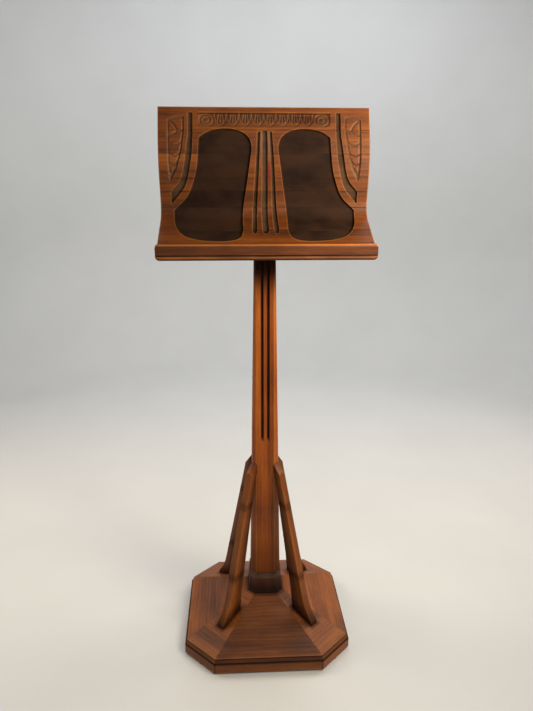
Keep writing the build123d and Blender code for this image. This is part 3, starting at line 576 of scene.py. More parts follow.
def post():
    """Rows of octagons; across each wide face u, the flute's depth at height z is
    sqrt(radius^2 - (|u| - middle)^2 - min(0, z - start)^2) - lift, where that is above 0."""
    z = np.concatenate([
        [TENON_BOTTOM, TENON_BOTTOM + 0.5, POST_FOOT - 0.01, POST_FOOT, POST_FOOT + 0.6],
        np.linspace(80, 498, 40), np.linspace(499, 504, 14), np.linspace(510, POST_TOP - 1, 46),
        [POST_TOP - 0.4, POST_TOP]])
    half, leg = post_half(z), post_leg(z)
    half[:3], leg[:3] = 22.0, 0.6
    half[[3, -1]] -= 0.4
    loops, mark = rounded(octagon(half, leg), (0.9 * leg / 14 + 0.5)[:, None])
    group = len(mark) // 8
    lane = np.array([0.3, 0.6, 0.8, 0.93, 0.997, 1.25])
    lane = FLUTE_RADIUS * np.concatenate([-lane[::-1], [0], lane])
    across = np.concatenate([lane - FLUTE_X, [0], lane + FLUTE_X])
    parts, marks, hollow = [], [], []
    for corner in range(8):
        parts.append(loops[:, corner * group:(corner + 1) * group])
        marks.append(np.tile(mark[:group], (len(z), 1)))
        hollow.append(np.zeros((len(z), group)))
        if corner % 2:
            turn = math.radians(90 * (corner // 2 + 1))
            face = np.array([math.cos(turn), math.sin(turn)])
            side = np.array([-face[1], face[0]])
            before = np.minimum(0, z[:, None] - FLUTE_START)
            inside = FLUTE_RADIUS ** 2 - (np.abs(across) - FLUTE_X) ** 2 - before ** 2
            depth = np.maximum(0, np.sqrt(np.maximum(0, inside)) - FLUTE_LIFT) * (z[:, None] > POST_FOOT)
            parts.append((half[:, None] - depth)[..., None] * face + across[:, None] * side)
            lip = np.exp(-((np.abs(np.abs(across) - FLUTE_X) - FLUTE_RADIUS) / 0.7) ** 2)
            marks.append(0.55 * lip * (z[:, None] > FLUTE_START - 2))
            hollow.append(np.clip(depth / 2.2, 0, 1))
    flat = np.concatenate(parts, 1)
    heights = np.broadcast_to(z[:, None], flat.shape[:2])
    points, faces = lofted(np.concatenate([flat, heights[..., None]], -1))
    hollow = np.concatenate(hollow, 1)
    # The flutes darken with their depth and the post darkens towards its foot; from 865 mm up the head
    # carries the desk's painted shadow.
    foot = np.clip(1 - (heights - 165) / 110, 0, 1) * 0.5
    head = np.clip((heights - 865) / 50, 0, 1)
    piece("post", points, faces, post_wood, "stand", ["column"], up_axis,
          {"edge": on_skin(np.concatenate(marks, 1)), "dirt_and_shade": on_skin(np.maximum(hollow, foot + head))})


PIVOT = np.array([0.0, 988.0])
TONGUE_HALF, TONGUE_RADIUS, BOLT_HOLE = 9.0, 21.0, 4.05


def tongue():
    """A tube-like skin: round the outline, over both faces and through the bolt hole. Each
    ring on one face is (outline, distance from the middle, rubbed mark); the other mirrors it."""
    turn = np.linspace(0, math.pi, 33)
    arch = PIVOT + TONGUE_RADIUS * np.stack([np.cos(turn), np.sin(turn)], 1)
    side = np.linspace(PIVOT[1] - 3, POST_TOP - 6, 8)[:, None]
    left = np.concatenate([0 * side - TONGUE_RADIUS, side], 1)
    floor = np.linspace(-TONGUE_RADIUS, TONGUE_RADIUS, 12)[1:-1, None]
    floor = np.concatenate([floor, 0 * floor + POST_TOP - 6], 1)
    outline = np.concatenate([arch, left, floor, left[::-1] * [-1, 1]])
    way = outline - PIVOT
    unit = way / np.linalg.norm(way, axis=1, keepdims=True)
    hole = PIVOT + BOLT_HOLE * unit
    steps = [(hole, 1.0, 0), (hole + 0.4 * unit, 1.0, 0), (outline - 4 * unit, 1.0, 0),
             (outline - 0.8 * unit, 1.0, 0.6), (outline - 0.25 * unit, 0.975, 1), (outline, 0.91, 0.6)]
    path = [(ring, TONGUE_HALF * w, e) for ring, w, e in steps]
    path += [(ring, -x, e) for ring, x, e in path[::-1]]
    rows = np.stack([np.concatenate([np.full((len(ring), 1), x), ring], 1) for ring, x, _ in path])
    rows = np.concatenate([rows, rows[:1]])
    count = rows.shape[1]
    faces = grid_faces(len(rows), count, True) % ((len(rows) - 1) * count)
    edge = np.repeat([e for _, _, e in path], count)
    piece("post_tongue", rows[:-1].reshape(-1, 3), faces.tolist(), post_wood, "stand", ["column"],
          up_axis, {"edge": edge})


post()
tongue()


# Collar. A thin dark-stained sleeve of eight mitred sides round the foot of the post, with a
# small step at the bottom and three scribed lines under its upper edge.
COLLAR_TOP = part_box("collar")[1].z / MM
SCRIBED_LINES, SCRIBE_WIDTH, SCRIBE_DEPTH = (143, 147, 151), 0.8, 0.6
STEP_TOP, STEP_FACE, COLLAR_LEAN = COLLAR_Z + 5, 42.0, 3.4

# Hardwood stained a dark red brown: even and soft, with grey dust left in its scribed lines.
collar_wood = waxed_wood("stained hardwood, collar", "2a1309", "48230f", "5c2f15", "7c4824", "120804",
                         gloss=0.4, arris_paleness=0.35)


def collar():
    """A profile of (height, half width), carried round the octagon, closed on the inside."""
    profile = [(COLLAR_Z, 43.1), (COLLAR_Z + 0.5, 43.5), (COLLAR_Z + 3.4, 43.5), (COLLAR_Z + 4.2, 43.1),
               (STEP_TOP, STEP_FACE)]
    for line in SCRIBED_LINES:
        face = STEP_FACE - (line - STEP_TOP) * COLLAR_LEAN / (COLLAR_TOP - STEP_TOP)
        profile += [(line - 0.5, face), (line, face - SCRIBE_DEPTH),
                    (line + SCRIBE_WIDTH, face - SCRIBE_DEPTH), (line + SCRIBE_WIDTH + 0.4, face - 0.1)]
    profile += [(COLLAR_TOP - 0.7, 38.65), (COLLAR_TOP, 38.0), (COLLAR_TOP, 36.95), (COLLAR_Z, 37.85)]
    z, half = np.array(profile).T
    share = 2 - math.sqrt(2) * RIM_STRETCH  # leg of the cut corner per half width, as on the rim
    loops, mark = rounded(octagon(half, half * share), 0.8)
    rows = np.concatenate([loops, np.broadcast_to(z[:, None, None], (*loops.shape[:2], 1))], -1)
    count = rows.shape[1]
    faces = grid_faces(len(z) + 1, count, True) % (len(z) * count)
    floors = [v for line in SCRIBED_LINES for v in (line, line + SCRIBE_WIDTH)]
    scribed = np.isin(np.round(z, 2), np.round(floors, 2))
    edge = 0.5 * mark[None, :] * (half > 38.3)[:, None]
    # The sleeve darkens towards its bottom.
    piece("collar_sleeve", rows.reshape(-1, 3), faces.tolist(), collar_wood, "stand", ["collar"],
          up_axis,
          {"edge": edge.ravel(), "dust": np.repeat(1.8 * scribed, count),
           "dirt_and_shade": np.repeat(np.clip((COLLAR_Z + 24 - z) / 20, 0, 0.8), count)})


collar()


# Braces. Four raking struts, sawn from 20 mm board with the grain along them, stand on the
# corner boards on a flared foot and lean against the post's cut corners under a hipped head.
# Old knocks have rounded their outer arrises, and shallow lines ring them near the foot.
BRACE_HALF = 10.0
RING_LINES = (168, 176, 184, 344, 356)

# The base's hardwood again, a shade darker and more worn at the arrises.
brace_wood = waxed_wood("waxed brown hardwood, braces", "381a08", "6a360c", "8a4c14", "ac6c2a", "160903",
                        gloss=0.46, arris_paleness=0.3)


def corner_board_z(reach):
    """Height of a corner board's surface at a distance from the axis."""
    return RIM + (RIM_DIAGONAL - reach) * (COLLAR_Z - RIM) / (RIM_DIAGONAL - RIM_STRETCH * COLLAR_HALF)


def curve_through(points, steps=10):
    """Smooth line: each span is a cubic; its end slopes are half the step between neighbours."""
    points = np.array(points, float)
    beyond = np.concatenate([2 * points[:1] - points[1:2], points, 2 * points[-1:] - points[-2:-1]])
    slope = (beyond[2:] - beyond[:-2]) / 2
    t = np.linspace(0, 1, steps, endpoint=False)[None, :, None]
    span = (2 * t**3 - 3 * t**2 + 1) * points[:-1, None] + (t**3 - 2 * t**2 + t) * slope[:-1, None]
    span = span + (3 * t**2 - 2 * t**3) * points[1:, None] + (t**3 - t**2) * slope[1:, None]
    return np.concatenate([span.reshape(-1, 2), points[-1:]])


def brace_outer(z):
    """Reach of a brace's outer edge from the axis at a height."""
    return 54.4 + 0.254 * (440 - z)


def brace_inner(z):
    """Reach of a brace's inner edge; it leans less, so the brace thickens towards its foot."""
    return 50 + 0.185 * (383 - z)


def post_corner(z):
    """Reach of the post's cut corner from the axis at a height."""
    return (2 * post_half(z) - post_leg(z)) / math.sqrt(2)


def brace(name, degrees):
    """Loft from the foot to the ridge of the head. Each station joins an inner and an outer
    point in the upright plane; above the eaves its width falls to a ridge."""
    sole = corner_board_z(TOE)
    flare = curve_through([(161.5, 72), (152, 85.5), (143, 101), (136.4, 118), (brace_outer(135), 135)], 5)
    outer = [(TOE, sole), (TOE, sole + 0.8), (TOE - 0.2, sole + 5), *flare]
    inner_foot = np.linspace((HEEL, corner_board_z(HEEL)), (brace_inner(140), 140), len(outer))
    z = np.unique(np.concatenate([np.linspace(145, 420, 42), *[(v - 0.9, v, v + 0.9) for v in RING_LINES]]))
    outer = np.array(outer + [(brace_outer(v), v) for v in z] + [(brace_outer(428), 428)])
    inner = np.concatenate([inner_foot, [(brace_inner(v + 5), v + 5) for v in z[:-1]],
                            [(post_corner(432), 432), (post_corner(451.5), 451.5)]])
    cut = np.isin(outer[:, 1], RING_LINES) & (outer[:, 1] > 140)
    rise = np.linspace(0, 1, 5)[1:, None]
    outer = np.concatenate([outer, outer[-1] + rise * (np.array([brace_outer(434), 434]) - outer[-1])])
    inner = np.concatenate([inner, inner[-1] + rise * (np.array([post_corner(457), 457]) - inner[-1])])
    cut = np.concatenate([cut, np.zeros(4, bool)])
    wide = np.concatenate([np.full(len(cut) - 4, BRACE_HALF), BRACE_HALF * (1 - rise[:, 0]) + 0.35])
    wide[0] -= 0.4
    way = outer - inner
    length = np.linalg.norm(way, axis=1)
    unit = way / length[:, None]
    corners = np.stack([np.stack([0 * length, -wide], 1), np.stack([length, -wide], 1),
                        np.stack([length, wide], 1), np.stack([0 * length, wide], 1)], 1)
    loops, mark = rounded(corners, np.array([0.5, 1.7, 1.7, 0.5]), 3.0)
    outside = loops[..., 0] > length[:, None] - 6
    depth = np.where(cut, 0.5, 0.0)[:, None]
    deep = np.clip(loops[..., 0], depth, length[:, None] - depth)
    sideways = np.clip(loops[..., 1], depth - wide[:, None], wide[:, None] - depth)
    reach = inner[:, None] + unit[:, None] * deep[..., None]
    points, faces = lofted(turned(np.stack([reach[..., 0], sideways, reach[..., 1]], -1), degrees))
    # The strut darkens towards its foot, in two bands and in its cut rings; near its inner edge, where it
    # leans on the post, it carries painted shade.
    foot = np.clip(1 - (reach[..., 1] - corner_board_z(reach[..., 0])) / 34, 0, 1) * 0.85
    post_side_shade = 0.4 * (loops[..., 0] < 8)
    bands = sum(0.5 * np.exp(-((outer[:, 1] - at) / 10) ** 2) for at in (176, 350))[:, None]
    edge = mark[None, :] * np.where(outside, 0.75, 0.25) * np.ones((len(cut), 1))
    direction = turned(np.array([[-0.22, 0, 1.0]]), degrees)[0]
    piece(name + "_strut", points, faces, brace_wood, "stand", [name], direction,
          {"edge": on_skin(edge), "dirt_and_shade": on_skin(np.clip(foot + post_side_shade + bands + 0.4 * (depth > 0), 0, 1))})


for turn, corner in enumerate(corner_names):
    brace(f"brace_{corner}", 45 + 90 * turn)


# Desk. Seven coopered staves of hardwood, grain across the reader, glued into one bent panel.
# Two wide recesses, straps and slots are sunk 4 mm and stained dark. A frieze of shells and
# two scaled pods are carved in shallow relief, and their raised parts are rubbed pale.

# Orange brown hardwood under old wax: nearly black in the stained cuts and in painted
# shadow under the frieze's top step, amber where hands rub it and as painted highlight
# along the top edge.
desk_wood = waxed_wood("waxed orange hardwood, desk", "391b08", "66330a", "854b12", "a86c24", "1a0c07",
                       gloss=0.5, arris_paleness=0.45)
DESK_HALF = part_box("desk_stave_1")[1].x / MM
DESK_THICK = 19.0
CARVE_DEPTH = 4.0
RAIL_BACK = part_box("ledge_rail")[1].y / MM
JOINTS = [0, 52, 102, 152, 181, 215, 285]  # distance down the front where each stave starts
BELLY, HOLLOW = 180.0, 38.0  # radii of the two bends in the side view

# The front in side view: three straight runs between these (y, z) corners, with an arc in
# place of each inner corner. A run is (distance, place, heading, bend) at its start.
desk_line = np.array([(8, 1265), (-27, 1163), (-2, 1042.5), (-126, 970.5)], float)
runs = []
heads = [math.atan2(b[1] - a[1], b[0] - a[0]) for a, b in zip(desk_line, desk_line[1:])]
trims = [0, BELLY * math.tan((heads[1] - heads[0]) / 2), HOLLOW * math.tan((heads[1] - heads[2]) / 2), 0]
place, travelled = desk_line[0], 0.0
for step, head in enumerate(heads):
    straight = np.linalg.norm(desk_line[step + 1] - desk_line[step]) - trims[step] - trims[step + 1]
    runs.append((travelled, place, head, 0.0))
    travelled += straight
    place = place + straight * np.array([math.cos(head), math.sin(head)])
    if step < 2:
        bend = (1 / BELLY, -1 / HOLLOW)[step]
        runs.append((travelled, place, head, bend))
        after = heads[step + 1]
        chord = [math.sin(after) - math.sin(head), math.cos(head) - math.cos(after)]
        place = place + np.array(chord) / bend
        travelled += abs((after - head) / bend)
PANEL_END = travelled - (desk_line[-1][0] - RAIL_BACK) / math.cos(heads[-1])


def desk_point(s, depth):
    """Side-view point (y, z) at distance s down the front and a depth behind it.

    On a straight run the place is start + s (cos h, sin h); on an arc of bend k the heading
    is h + k s and the place is start + (sin(h + k s) - sin h, cos h - cos(h + k s)) / k.
    """
    s, depth = np.broadcast_arrays(np.asarray(s, float), depth)
    y, z = np.zeros(s.shape), np.zeros(s.shape)
    for start, place, head, bend in runs:
        far = s - start
        now = head + bend * far
        if bend:
            back, rise = (np.sin(now) - math.sin(head)) / bend, (math.cos(head) - np.cos(now)) / bend
        else:
            back, rise = far * math.cos(head), far * math.sin(head)
        use = (far >= 0) | (start == 0)
        y = np.where(use, place[0] + back - np.sin(now) * depth, y)
        z = np.where(use, place[1] + rise + np.cos(now) * depth, z)
    return y, z


def distance_to(x, z, path):
    """Shortest distance from each point to a line of straight segments."""
    near = np.full(x.shape, 1e9)
    for a, b in zip(path[:-1], path[1:]):
        way = b - a
        t = np.clip(((x - a[0]) * way[0] + (z - a[1]) * way[1]) / (way @ way + 1e-9), 0, 1)
        near = np.minimum(near, np.hypot(x - a[0] - t * way[0], z - a[1] - t * way[1]))
    return near


def within(x, z, path):
    """True where an upward ray crosses the closed line an odd number of times."""
    odd = np.zeros(x.shape, bool)
    for a, b in zip(path[:-1], path[1:]):
        crosses = (a[0] > x) != (b[0] > x)
        odd ^= crosses & (z < a[1] + (x - a[0]) * (b[1] - a[1]) / (b[0] - a[0] + 1e-9))
    return odd


# Outlines of the carving on the right half, as (x, height); the left half mirrors it.
recess = np.concatenate([
    curve_through([(29, 1171), (29, 1185), (36, 1202), (54, 1214),
                   (80, 1219), (106, 1217), (125, 1211), (140.5, 1201)]),
    curve_through([(140.5, 1201), (146, 1142), (156, 1106), (170, 1077), (198.5, 1049)])[1:],
    curve_through([(198.5, 1049), (195, 1022), (177, 1001), (148, 991.5),
                   (104, 988), (72, 989.5), (54, 996), (48, 1009)])[1:],
    curve_through([(48, 1009), (48, 1046), (38, 1112), (29, 1171)])[1:],
])
strap = np.concatenate([
    [(153.5, 1252)],
    curve_through([(153.5, 1204), (158, 1155), (172, 1101), (204, 1062)]),
    curve_through([(204, 1088), (179, 1122), (164, 1204)]),
    [(164, 1252), (153.5, 1252)],
])
side_slot = np.array([(9.6, 1213), (15.6, 1213), (29.2, 1008), (25.5, 1002),
                      (21.5, 1002), (18.4, 1008), (9.6, 1213)])
mid_slot = np.array([(-5.4, 1215), (5.4, 1215), (7.2, 1008), (3.5, 1002),
                     (-3.5, 1002), (-7.2, 1008), (-5.4, 1215)])

pod_inner = curve_through([(173.5, 1242), (173.8, 1216), (175.7, 1198), (179.6, 1173),
                           (184.4, 1157), (191, 1136), (203, 1113)])
pod_top = curve_through([(173.5, 1242), (186, 1243), (197, 1240), (206, 1236)])
pod = np.concatenate([pod_inner, [(206, 1150), (206, 1236)], pod_top[::-1]])
pod_lines = [pod, curve_through([(205.5, 1237), (194, 1228), (186, 1216), (179, 1214), (173.5, 1216)]),
             curve_through([(186, 1216), (194, 1208), (206, 1205)])]
for level, inset in ((1189, 177.5), (1166, 181.5), (1147, 187), (1131, 193), (1120, 199)):
    scale = [(inset, level + 5), (inset + 3, level), ((inset + 206) / 2, level - 4), (206, level)]
    pod_lines.append(curve_through(scale))

ROUNDEL, ROUNDEL_EYE = np.array([124, 1236.5]), 0.45
SHELL_WIDE = 26.5
turn = np.linspace(0, 2 * math.pi, 33)
roundel = np.stack([15 * np.cos(turn), 12.5 * np.sin(turn)], 1)
frieze_lines = [ROUNDEL + roundel]
for x in SHELL_WIDE * np.arange(4):
    shell = [(x, 1249), (x + 3, 1236), (x + 13.2, 1226), (x + 23.5, 1236), (x + SHELL_WIDE, 1249)]
    frieze_lines.append(curve_through(shell))
    for lean in (-1, 0, 1):
        rib = [(x + 13.2 + 4 * lean, 1247), (x + 13.2 + 6.5 * lean, 1234 - 2 * (lean == 0))]
        frieze_lines.append(np.array(rib))
frieze_lines.append(ROUNDEL + roundel * ROUNDEL_EYE)

POD_LOW, POD_SIDE = 1098, 168  # the pods lie above this height and beyond this distance
SHELL_LOW, SHELL_SIDE = 1218, 148
BAND_LOW, BAND_TOP, BAND_SIDE = 1222, 1250.5, 142  # sunk band behind the shells
PAINT_LOW, PAINT_TOP, PAINT_X = 1096, 1150, 9  # an old smear of red on one bar
WEAR_LOW, WEAR_TOP, WEAR_X = 1135, 1210, 8  # bars worn pale by sliding books


def smooth_step(value):
    """3 t^2 - 2 t^3, with t kept between 0 and 1."""
    value = np.clip(value, 0, 1)
    return value * value * (3 - 2 * value)


FAR = 99.0


def carved(x, z):
    """Depth of the carving and its marks, from distances d to the outlines.

    A sunk ground has depth 4 smooth(d / 1.6) inside its outline. A cut line between two
    cushions has depth 1.7 (1 - d / 4.5)^2 in the frieze and 2.2 (1 - d / 4.5)^2 in the pods.
    The pods are sunk another 1.2 mm and the frieze's band up to 1.6 mm towards its top.
    """
    u = np.abs(x)
    depth, dirt_and_shade, dust = np.zeros((3, *x.shape))
    near, line = np.full((2, *x.shape), FAR)
    for path, stain, grey in ((recess, 1.0, 0.12), (strap, 0.85, 0.45),
                              (side_slot, 0.8, 0.5), (mid_slot, 0.8, 0.55)):
        d, inside = distance_to(u, z, path), within(u, z, path)
        depth = np.maximum(depth, CARVE_DEPTH * smooth_step(d / 1.6) * inside)
        dirt_and_shade = np.maximum(dirt_and_shade, stain * inside * smooth_step((d + 0.3) / 1.0))
        dust = np.maximum(dust, grey * inside)
        near = np.minimum(near, np.where(inside, FAR, d))
    beyond = u > POD_SIDE
    tops = ((z > POD_LOW) & beyond) | ((z > SHELL_LOW) & (u < SHELL_SIDE))
    for path in pod_lines + frieze_lines:
        line = np.minimum(line, distance_to(u, z, path))
    cushion = tops * np.clip(1 - line / 4.5, 0, 1) ** 2 * (1.7 + 0.5 * beyond)
    in_pod = within(u, z, pod)
    pocket = 1.2 * in_pod * smooth_step(distance_to(u, z, pod) / 1.0)
    in_band = (u < BAND_SIDE) & (z < BAND_TOP) & (z > BAND_LOW)
    band = 1.6 * in_band * smooth_step(BAND_TOP - z) * smooth_step((z - BAND_LOW) / 26)
    band = band * smooth_step((BAND_SIDE - u) / 5)
    depth = np.maximum(depth, cushion * (in_pod | in_band | (line < 2)) + pocket + band)
    groove = np.clip(1 - line / (1.5 + 0.7 * beyond), 0, 1) * tops
    # Painted shadow under the step at the top of the frieze's band.
    top_step_shadow = (u < BAND_SIDE + 1) * np.exp(-((z - BAND_TOP + 0.7) / 1.1) ** 2)
    dirt_and_shade = np.maximum(dirt_and_shade, np.maximum(np.maximum(0.8 * groove, 0.95 * top_step_shadow), 0.35 * in_band))
    dust = np.maximum(dust, 0.9 * np.clip(1 - np.abs(line - 0.6) / 1.4, 0, 1) * tops)
    edge = np.maximum(np.exp(-(near / 1.6) ** 2), 0.5 * np.exp(-((line - 3) / 1.2) ** 2) * tops)
    # Painted highlight along the upper edge of that step, laid on as the pale arris mark.
    edge = np.maximum(edge, 0.8 * (u < BAND_SIDE + 1) * np.exp(-((z - BAND_TOP - 2.1) / 1.4) ** 2))
    raised = depth < 0.5
    smear = np.clip(1 - np.abs(x - PAINT_X - (PAINT_TOP - z) * 0.02) / 4.5, 0, 1)
    paint = smear * smooth_step((z - PAINT_LOW) / 30) * (z < PAINT_TOP) * raised
    slid = np.clip(1 - np.abs(u - WEAR_X) / 5, 0, 1)
    paler = 1.5 * slid * smooth_step((z - WEAR_LOW) / 50) * (z < WEAR_TOP) * raised
    return depth, edge, dirt_and_shade, np.maximum(dust, paler), 2 * paint


def slab(front, back):
    """Closed skin of a bent board. Each loop runs across the front and returns across the
    back; triangles between the two close both ends."""
    rows, wide, _ = front.shape
    few = back.shape[1]
    count = wide + few
    points = np.concatenate([front, back[:, ::-1]], 1).reshape(-1, 3)
    pick = np.arange(wide) * (few - 1) // (wide - 1)
    ahead, behind = np.arange(wide), count - 1 - pick
    step = pick[1:] > pick[:-1]
    cap = np.concatenate([np.stack([ahead[:-1], ahead[1:], behind[:-1]], 1),
                          np.stack([ahead[1:], behind[1:], behind[:-1]], 1)[step]])
    caps = np.concatenate([cap[:, ::-1], cap + (rows - 1) * count])
    return points, grid_faces(rows, count, True).tolist() + caps.tolist()


def round_over(short, radius):
    """How far a quarter circle falls back where it is that short of its end: r - sqrt(r^2 - s^2)."""
    return radius - np.sqrt(radius ** 2 - np.clip(short, 0, radius) ** 2)


GRID = 0.8
SIDE_ROUND, TOP_ROUND, BACK_ROUND = 1.5, 4.05, 2


def stave(number, first, last):
    """Front grid over (x, distance down the front), sunk by the carving, with a plain back."""
    side = DESK_HALF - np.array([0, 0.12, 0.45, 0.95, 1.5])
    x = np.concatenate([-side, np.arange(-DESK_HALF + 2.2, DESK_HALF - 2.2, GRID), side[::-1]])
    s = np.concatenate([[first, first + 0.25, first + 0.5], np.arange(first + 1, last - 0.9, GRID),
                        [last - 0.5, last - 0.25, last]])
    flat_x, flat_s = np.meshgrid(x, s)
    z = desk_point(flat_s, 0)[1]
    depth, edge, dirt_and_shade, dust, paint = carved(flat_x, z)
    depth = depth + round_over(np.abs(flat_x) - (DESK_HALF - SIDE_ROUND), SIDE_ROUND)
    edge = np.maximum(edge, 0.9 * np.exp(-((DESK_HALF - np.abs(flat_x)) / 2.5) ** 2))
    seam = np.clip(1 - (flat_s - first) / 0.5, 0, 1) + np.clip(1 - (last - flat_s) / 0.5, 0, 1)
    if number == 1:
        seam = np.clip(1 - (last - flat_s) / 0.5, 0, 1)
        depth = depth + round_over(TOP_ROUND - flat_s, TOP_ROUND)
        # Painted highlight along the panel's top edge, laid on as the pale arris mark.
        edge = np.maximum(edge, np.exp(-(flat_s / 5) ** 2))
    depth = depth + 0.3 * seam
    open_share = np.interp(flat_x, np.linspace(-DESK_HALF, DESK_HALF, 14), draw.uniform(0.1, 1.0, 14))
    from_joint = np.minimum(flat_s - first + 9 * (number == 1), last - flat_s)
    cracks = open_share * np.exp(-(from_joint / 0.9) ** 2)
    back_x = np.concatenate([[-DESK_HALF, -DESK_HALF + 1], np.linspace(-DESK_HALF + 8, DESK_HALF - 8, 12),
                             [DESK_HALF - 1, DESK_HALF]])
    back_x, back_s = np.meshgrid(back_x, s)
    back_depth = DESK_THICK - 1.0 * (np.abs(back_x) > DESK_HALF - 0.5)
    if number == 1:
        back_depth = back_depth - round_over(BACK_ROUND - back_s, BACK_ROUND)
    if number == len(JOINTS):
        slant = math.tan(heads[-1])
        run = smooth_step((flat_s - first) / (last - first))
        flat_s = flat_s + depth * slant * run
        back_s = back_s + back_depth * slant * smooth_step((back_s - first) / (last - first))
    front = np.stack([flat_x, *desk_point(flat_s, depth)], -1)
    back = np.stack([back_x, *desk_point(back_s, back_depth)], -1)
    points, faces = slab(front, back)

    def both(values, behind=0.0):
        return np.concatenate([values, np.full(back_x.shape, behind)], 1).ravel()

    grain = np.stack([np.concatenate([a, b[:, ::-1]], 1).ravel() for a, b in
                      ((flat_x, back_x), (flat_s, back_s), (depth, back_depth))], 1)
    piece(f"carved_stave_{number}", points, faces, desk_wood, "desk", [f"desk_stave_{number}"],
          marks={"edge": both(edge), "dirt_and_shade": both(np.maximum(dirt_and_shade, cracks)), "dust": both(dust),
                 "paint": both(paint)}, grain=grain)


for number, (first, last) in enumerate(zip(JOINTS, [*JOINTS[1:], PANEL_END]), 1):
    stave(number, first, last)


# Ledge rail. A straight moulded strip, dowelled to the panel's lower edge, keeps the music
# from sliding off. It has a top arris, a dark hollow-looking face, a groove and a bead; a
# painted highlight lies along the top arris, the bead and the rounded ends, and painted
# shade in the groove and along the underside.
rail_low, rail_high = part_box("ledge_rail")
RAIL_HALF, RAIL_FRONT = rail_high.x / MM, rail_low.y / MM
RAIL_BOTTOM, RAIL_TOP = rail_low.z / MM, rail_high.z / MM
FOOT_ROUND, HEAD_ROUND = 9, 5  # radii of the rail's ends, below and above

# Darker, shinier hardwood than the desk's, with bright amber in patches and, as painted
# highlight, along the arrises.
rail_wood = waxed_wood("waxed hardwood, ledge rail", "391d0c", "5c3014", "70411c", "c27632", "1a0c05",
                       gloss=0.38, arris_paleness=0.65)


def ledge_rail():
    """Section (y, z) carried along x; near each end its foot and top follow the corner
    arcs, so z moves towards a middle height by the share of the height that is left."""
    groove = RAIL_BOTTOM + 9.5
    corners = [(RAIL_BACK, RAIL_BOTTOM), (RAIL_FRONT + 0.4, RAIL_BOTTOM),
               (RAIL_FRONT + 0.6, RAIL_BOTTOM + 3.4), (RAIL_FRONT, RAIL_BOTTOM + 4.2),
               (RAIL_FRONT, groove - 0.8), (RAIL_FRONT + 1.5, groove - 0.7),
               (RAIL_FRONT + 1.5, groove + 0.9), (RAIL_FRONT + 0.5, groove + 1.0),
               (RAIL_FRONT + 0.3, RAIL_TOP - 5.6), (RAIL_FRONT + 0.8, RAIL_TOP - 4.4),
               (RAIL_FRONT + 3.6, RAIL_TOP), (RAIL_BACK, RAIL_TOP)]
    radii = np.array([0.8, 2.0, 0.5, 1.5, 1.5, 0.3, 0.3, 0.6, 0.8, 0.9, 2.0, 0.8])
    loop, mark = rounded(corners, radii, 2.5)
    wide = RAIL_HALF - np.array([0, 0.3, 1, 2, 3.5, 5, 7, 9])
    x = np.concatenate([-wide, np.linspace(-RAIL_HALF + 14, RAIL_HALF - 14, 90), wide[::-1]])
    short = np.abs(x) - RAIL_HALF
    lift, drop = round_over(short + FOOT_ROUND, FOOT_ROUND), round_over(short + HEAD_ROUND, HEAD_ROUND)
    y, z = loop[:, 0], loop[:, 1]
    lower = np.clip((groove + 1.4 - z) / 10.9, 0, 1)
    upper = np.clip((z - RAIL_TOP + 7.5) / 7.5, 0, 1)
    height = z + lift[:, None] * lower - drop[:, None] * upper
    middle = (RAIL_BACK + RAIL_FRONT) / 2
    pinch = np.where(np.abs(x) == RAIL_HALF, 0.93, 1.0)[:, None]
    front = middle + (y - middle) * pinch
    across = np.broadcast_to(x[:, None], height.shape)
    points, faces = lofted(np.stack([across, front, height], -1))
    # Painted highlight along the top arris, the bead and the rounded ends.
    arris_highlight = np.exp(-((z - RAIL_TOP + 1.8) / 2.4) ** 2) * (y < RAIL_BACK - 1)
    bead_highlight = 0.75 * np.exp(-((z - groove + 4) / 2.0) ** 2) * (y < RAIL_FRONT + 1)
    edge = np.maximum(np.maximum(arris_highlight, bead_highlight), 0.8 * (np.abs(x) > RAIL_HALF - 2)[:, None] * mark)
    # Painted shade in the groove and along the underside.
    dark = np.where((z > groove - 0.9) & (z < groove + 1.3), 1.0, 0.0) + 0.7 * (z < RAIL_BOTTOM + 3.2)
    dark = np.broadcast_to(np.clip(dark, 0, 1), height.shape)
    piece("moulded_ledge", points, faces, rail_wood, "desk", ["ledge_rail"],
          marks={"edge": on_skin(edge + 0 * height), "dirt_and_shade": on_skin(dark)})


ledge_rail()


# Back of the desk. Two battens, bent to the panel, tie the staves with steel screws, and a
# yoke of three glued layers carries the panel on the post: a spine with a cheek either side
# of the post's tongue. These are of the same hardwood, planed but left duller.
BATTEN_X, BATTEN_HALF, BATTEN_THICK = 150.0, 15.0, 14.0

# Planed hardwood with thin old wax: an even mid brown, dull and little rubbed.
back_wood = waxed_wood("brown hardwood, back of the desk", "44200b", "733b13", "8d4f1e", "a96b34", "221107",
                       gloss=0.5)


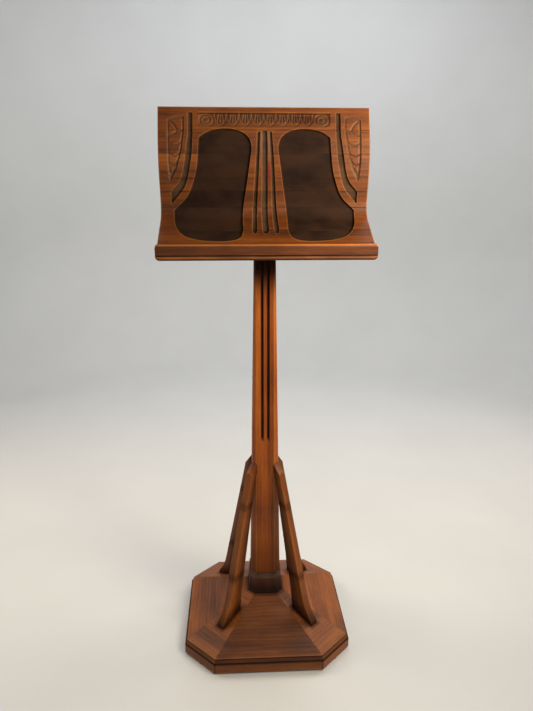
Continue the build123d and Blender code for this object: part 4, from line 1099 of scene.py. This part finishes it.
def batten(name, side):
    """Rounded rectangle in (x, depth), carried down the back of the panel."""
    s = np.concatenate([[24, 24.5], np.linspace(27, 259, 60), [261.5, 262]])
    corners = [(-BATTEN_HALF, DESK_THICK), (BATTEN_HALF, DESK_THICK),
               (BATTEN_HALF, DESK_THICK + BATTEN_THICK), (-BATTEN_HALF, DESK_THICK + BATTEN_THICK)]
    loop, mark = rounded(corners, [0.1, 0.1, 2.5, 2.5])
    inset = np.where((s < 24.3) | (s > 261.8), 0.4, 0.0)[:, None]
    x = side * BATTEN_X + loop[:, 0] - inset * np.sign(loop[:, 0])
    depth = loop[:, 1] - inset * (loop[:, 1] > DESK_THICK + 7)
    y, z = desk_point(s[:, None], depth)
    points, faces = lofted(np.stack([x, y, z], -1))
    outer = (depth > DESK_THICK + 2) * mark
    grain = np.stack([np.broadcast_to(s[:, None], x.shape), x, depth], -1)
    grain = np.concatenate([grain.reshape(-1, 3), grain[:1].mean(1), grain[-1:].mean(1)])
    piece(name + "_bent", points, faces, back_wood, "desk", [name],
          marks={"edge": on_skin(outer), "dirt_and_shade": on_skin(0.8 * (depth < DESK_THICK + 0.6) + 0 * x)},
          grain=grain)


batten("batten_left", -1)
batten("batten_right", 1)
for layer in ("yoke_spine", "yoke_cheek_left", "yoke_cheek_right"):
    worn_copy(layer, back_wood, "desk", up_axis)


# Pivot and clamp. A brass bolt passes the cheeks and the tongue, with brass washers outside
# and leather friction discs between; a turned, dark-stained knob on the reader's right
# screws down on it by a brass insert.
dress(leather("friction leather"), "friction_discs")


def knob():
    """Turned shape: a profile of (x, radius) spun about the bolt, with a hollow for it."""
    low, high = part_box("clamp_knob")
    start, end = low.x / MM, high.x / MM
    outline = curve_through([(start, 10), (start + 6, 10.6), (start + 9.5, 14.5), (start + 13, 18.6),
                             (start + 18, 20.6), (start + 22.5, 18.9), (start + 26, 12), (end, 1.2)], 8)
    grooves = start + np.array([[14.6], [21.0]])
    cut = 0.7 * np.exp(-((outline[:, 0] - grooves) / 0.5) ** 2).sum(0)
    outline[:, 1] = np.maximum(outline[:, 1] - cut, 0.4)
    bore = [(start + 16, BOLT_HOLE), (start + 16, 6.5), (start + 0.3, 6.5), (start, 6.9), (start, 9.6)]
    profile = np.concatenate([bore, outline])
    angle = np.linspace(0, 2 * math.pi, 96, endpoint=False)
    rows = np.stack([profile[:, :1] + 0 * angle, profile[:, 1:] * np.cos(angle),
                     PIVOT[1] + profile[:, 1:] * np.sin(angle)], -1)
    points, faces = lofted(rows)
    widest = np.exp(-((profile[:, 0] - start - 18) / 3.0) ** 2) * (profile[:, 1] > 8)
    dark = np.interp(profile[:, 0], [start, start + 3], [0.8, 0.0])
    piece("turned_knob", points, faces, stained_wood, "knob", ["clamp_knob"],
          marks={"edge": on_skin(0.8 * widest[:, None] + 0 * rows[..., 0]),
                 "dirt_and_shade": on_skin(dark[:, None] + 0 * rows[..., 0])})


knob()
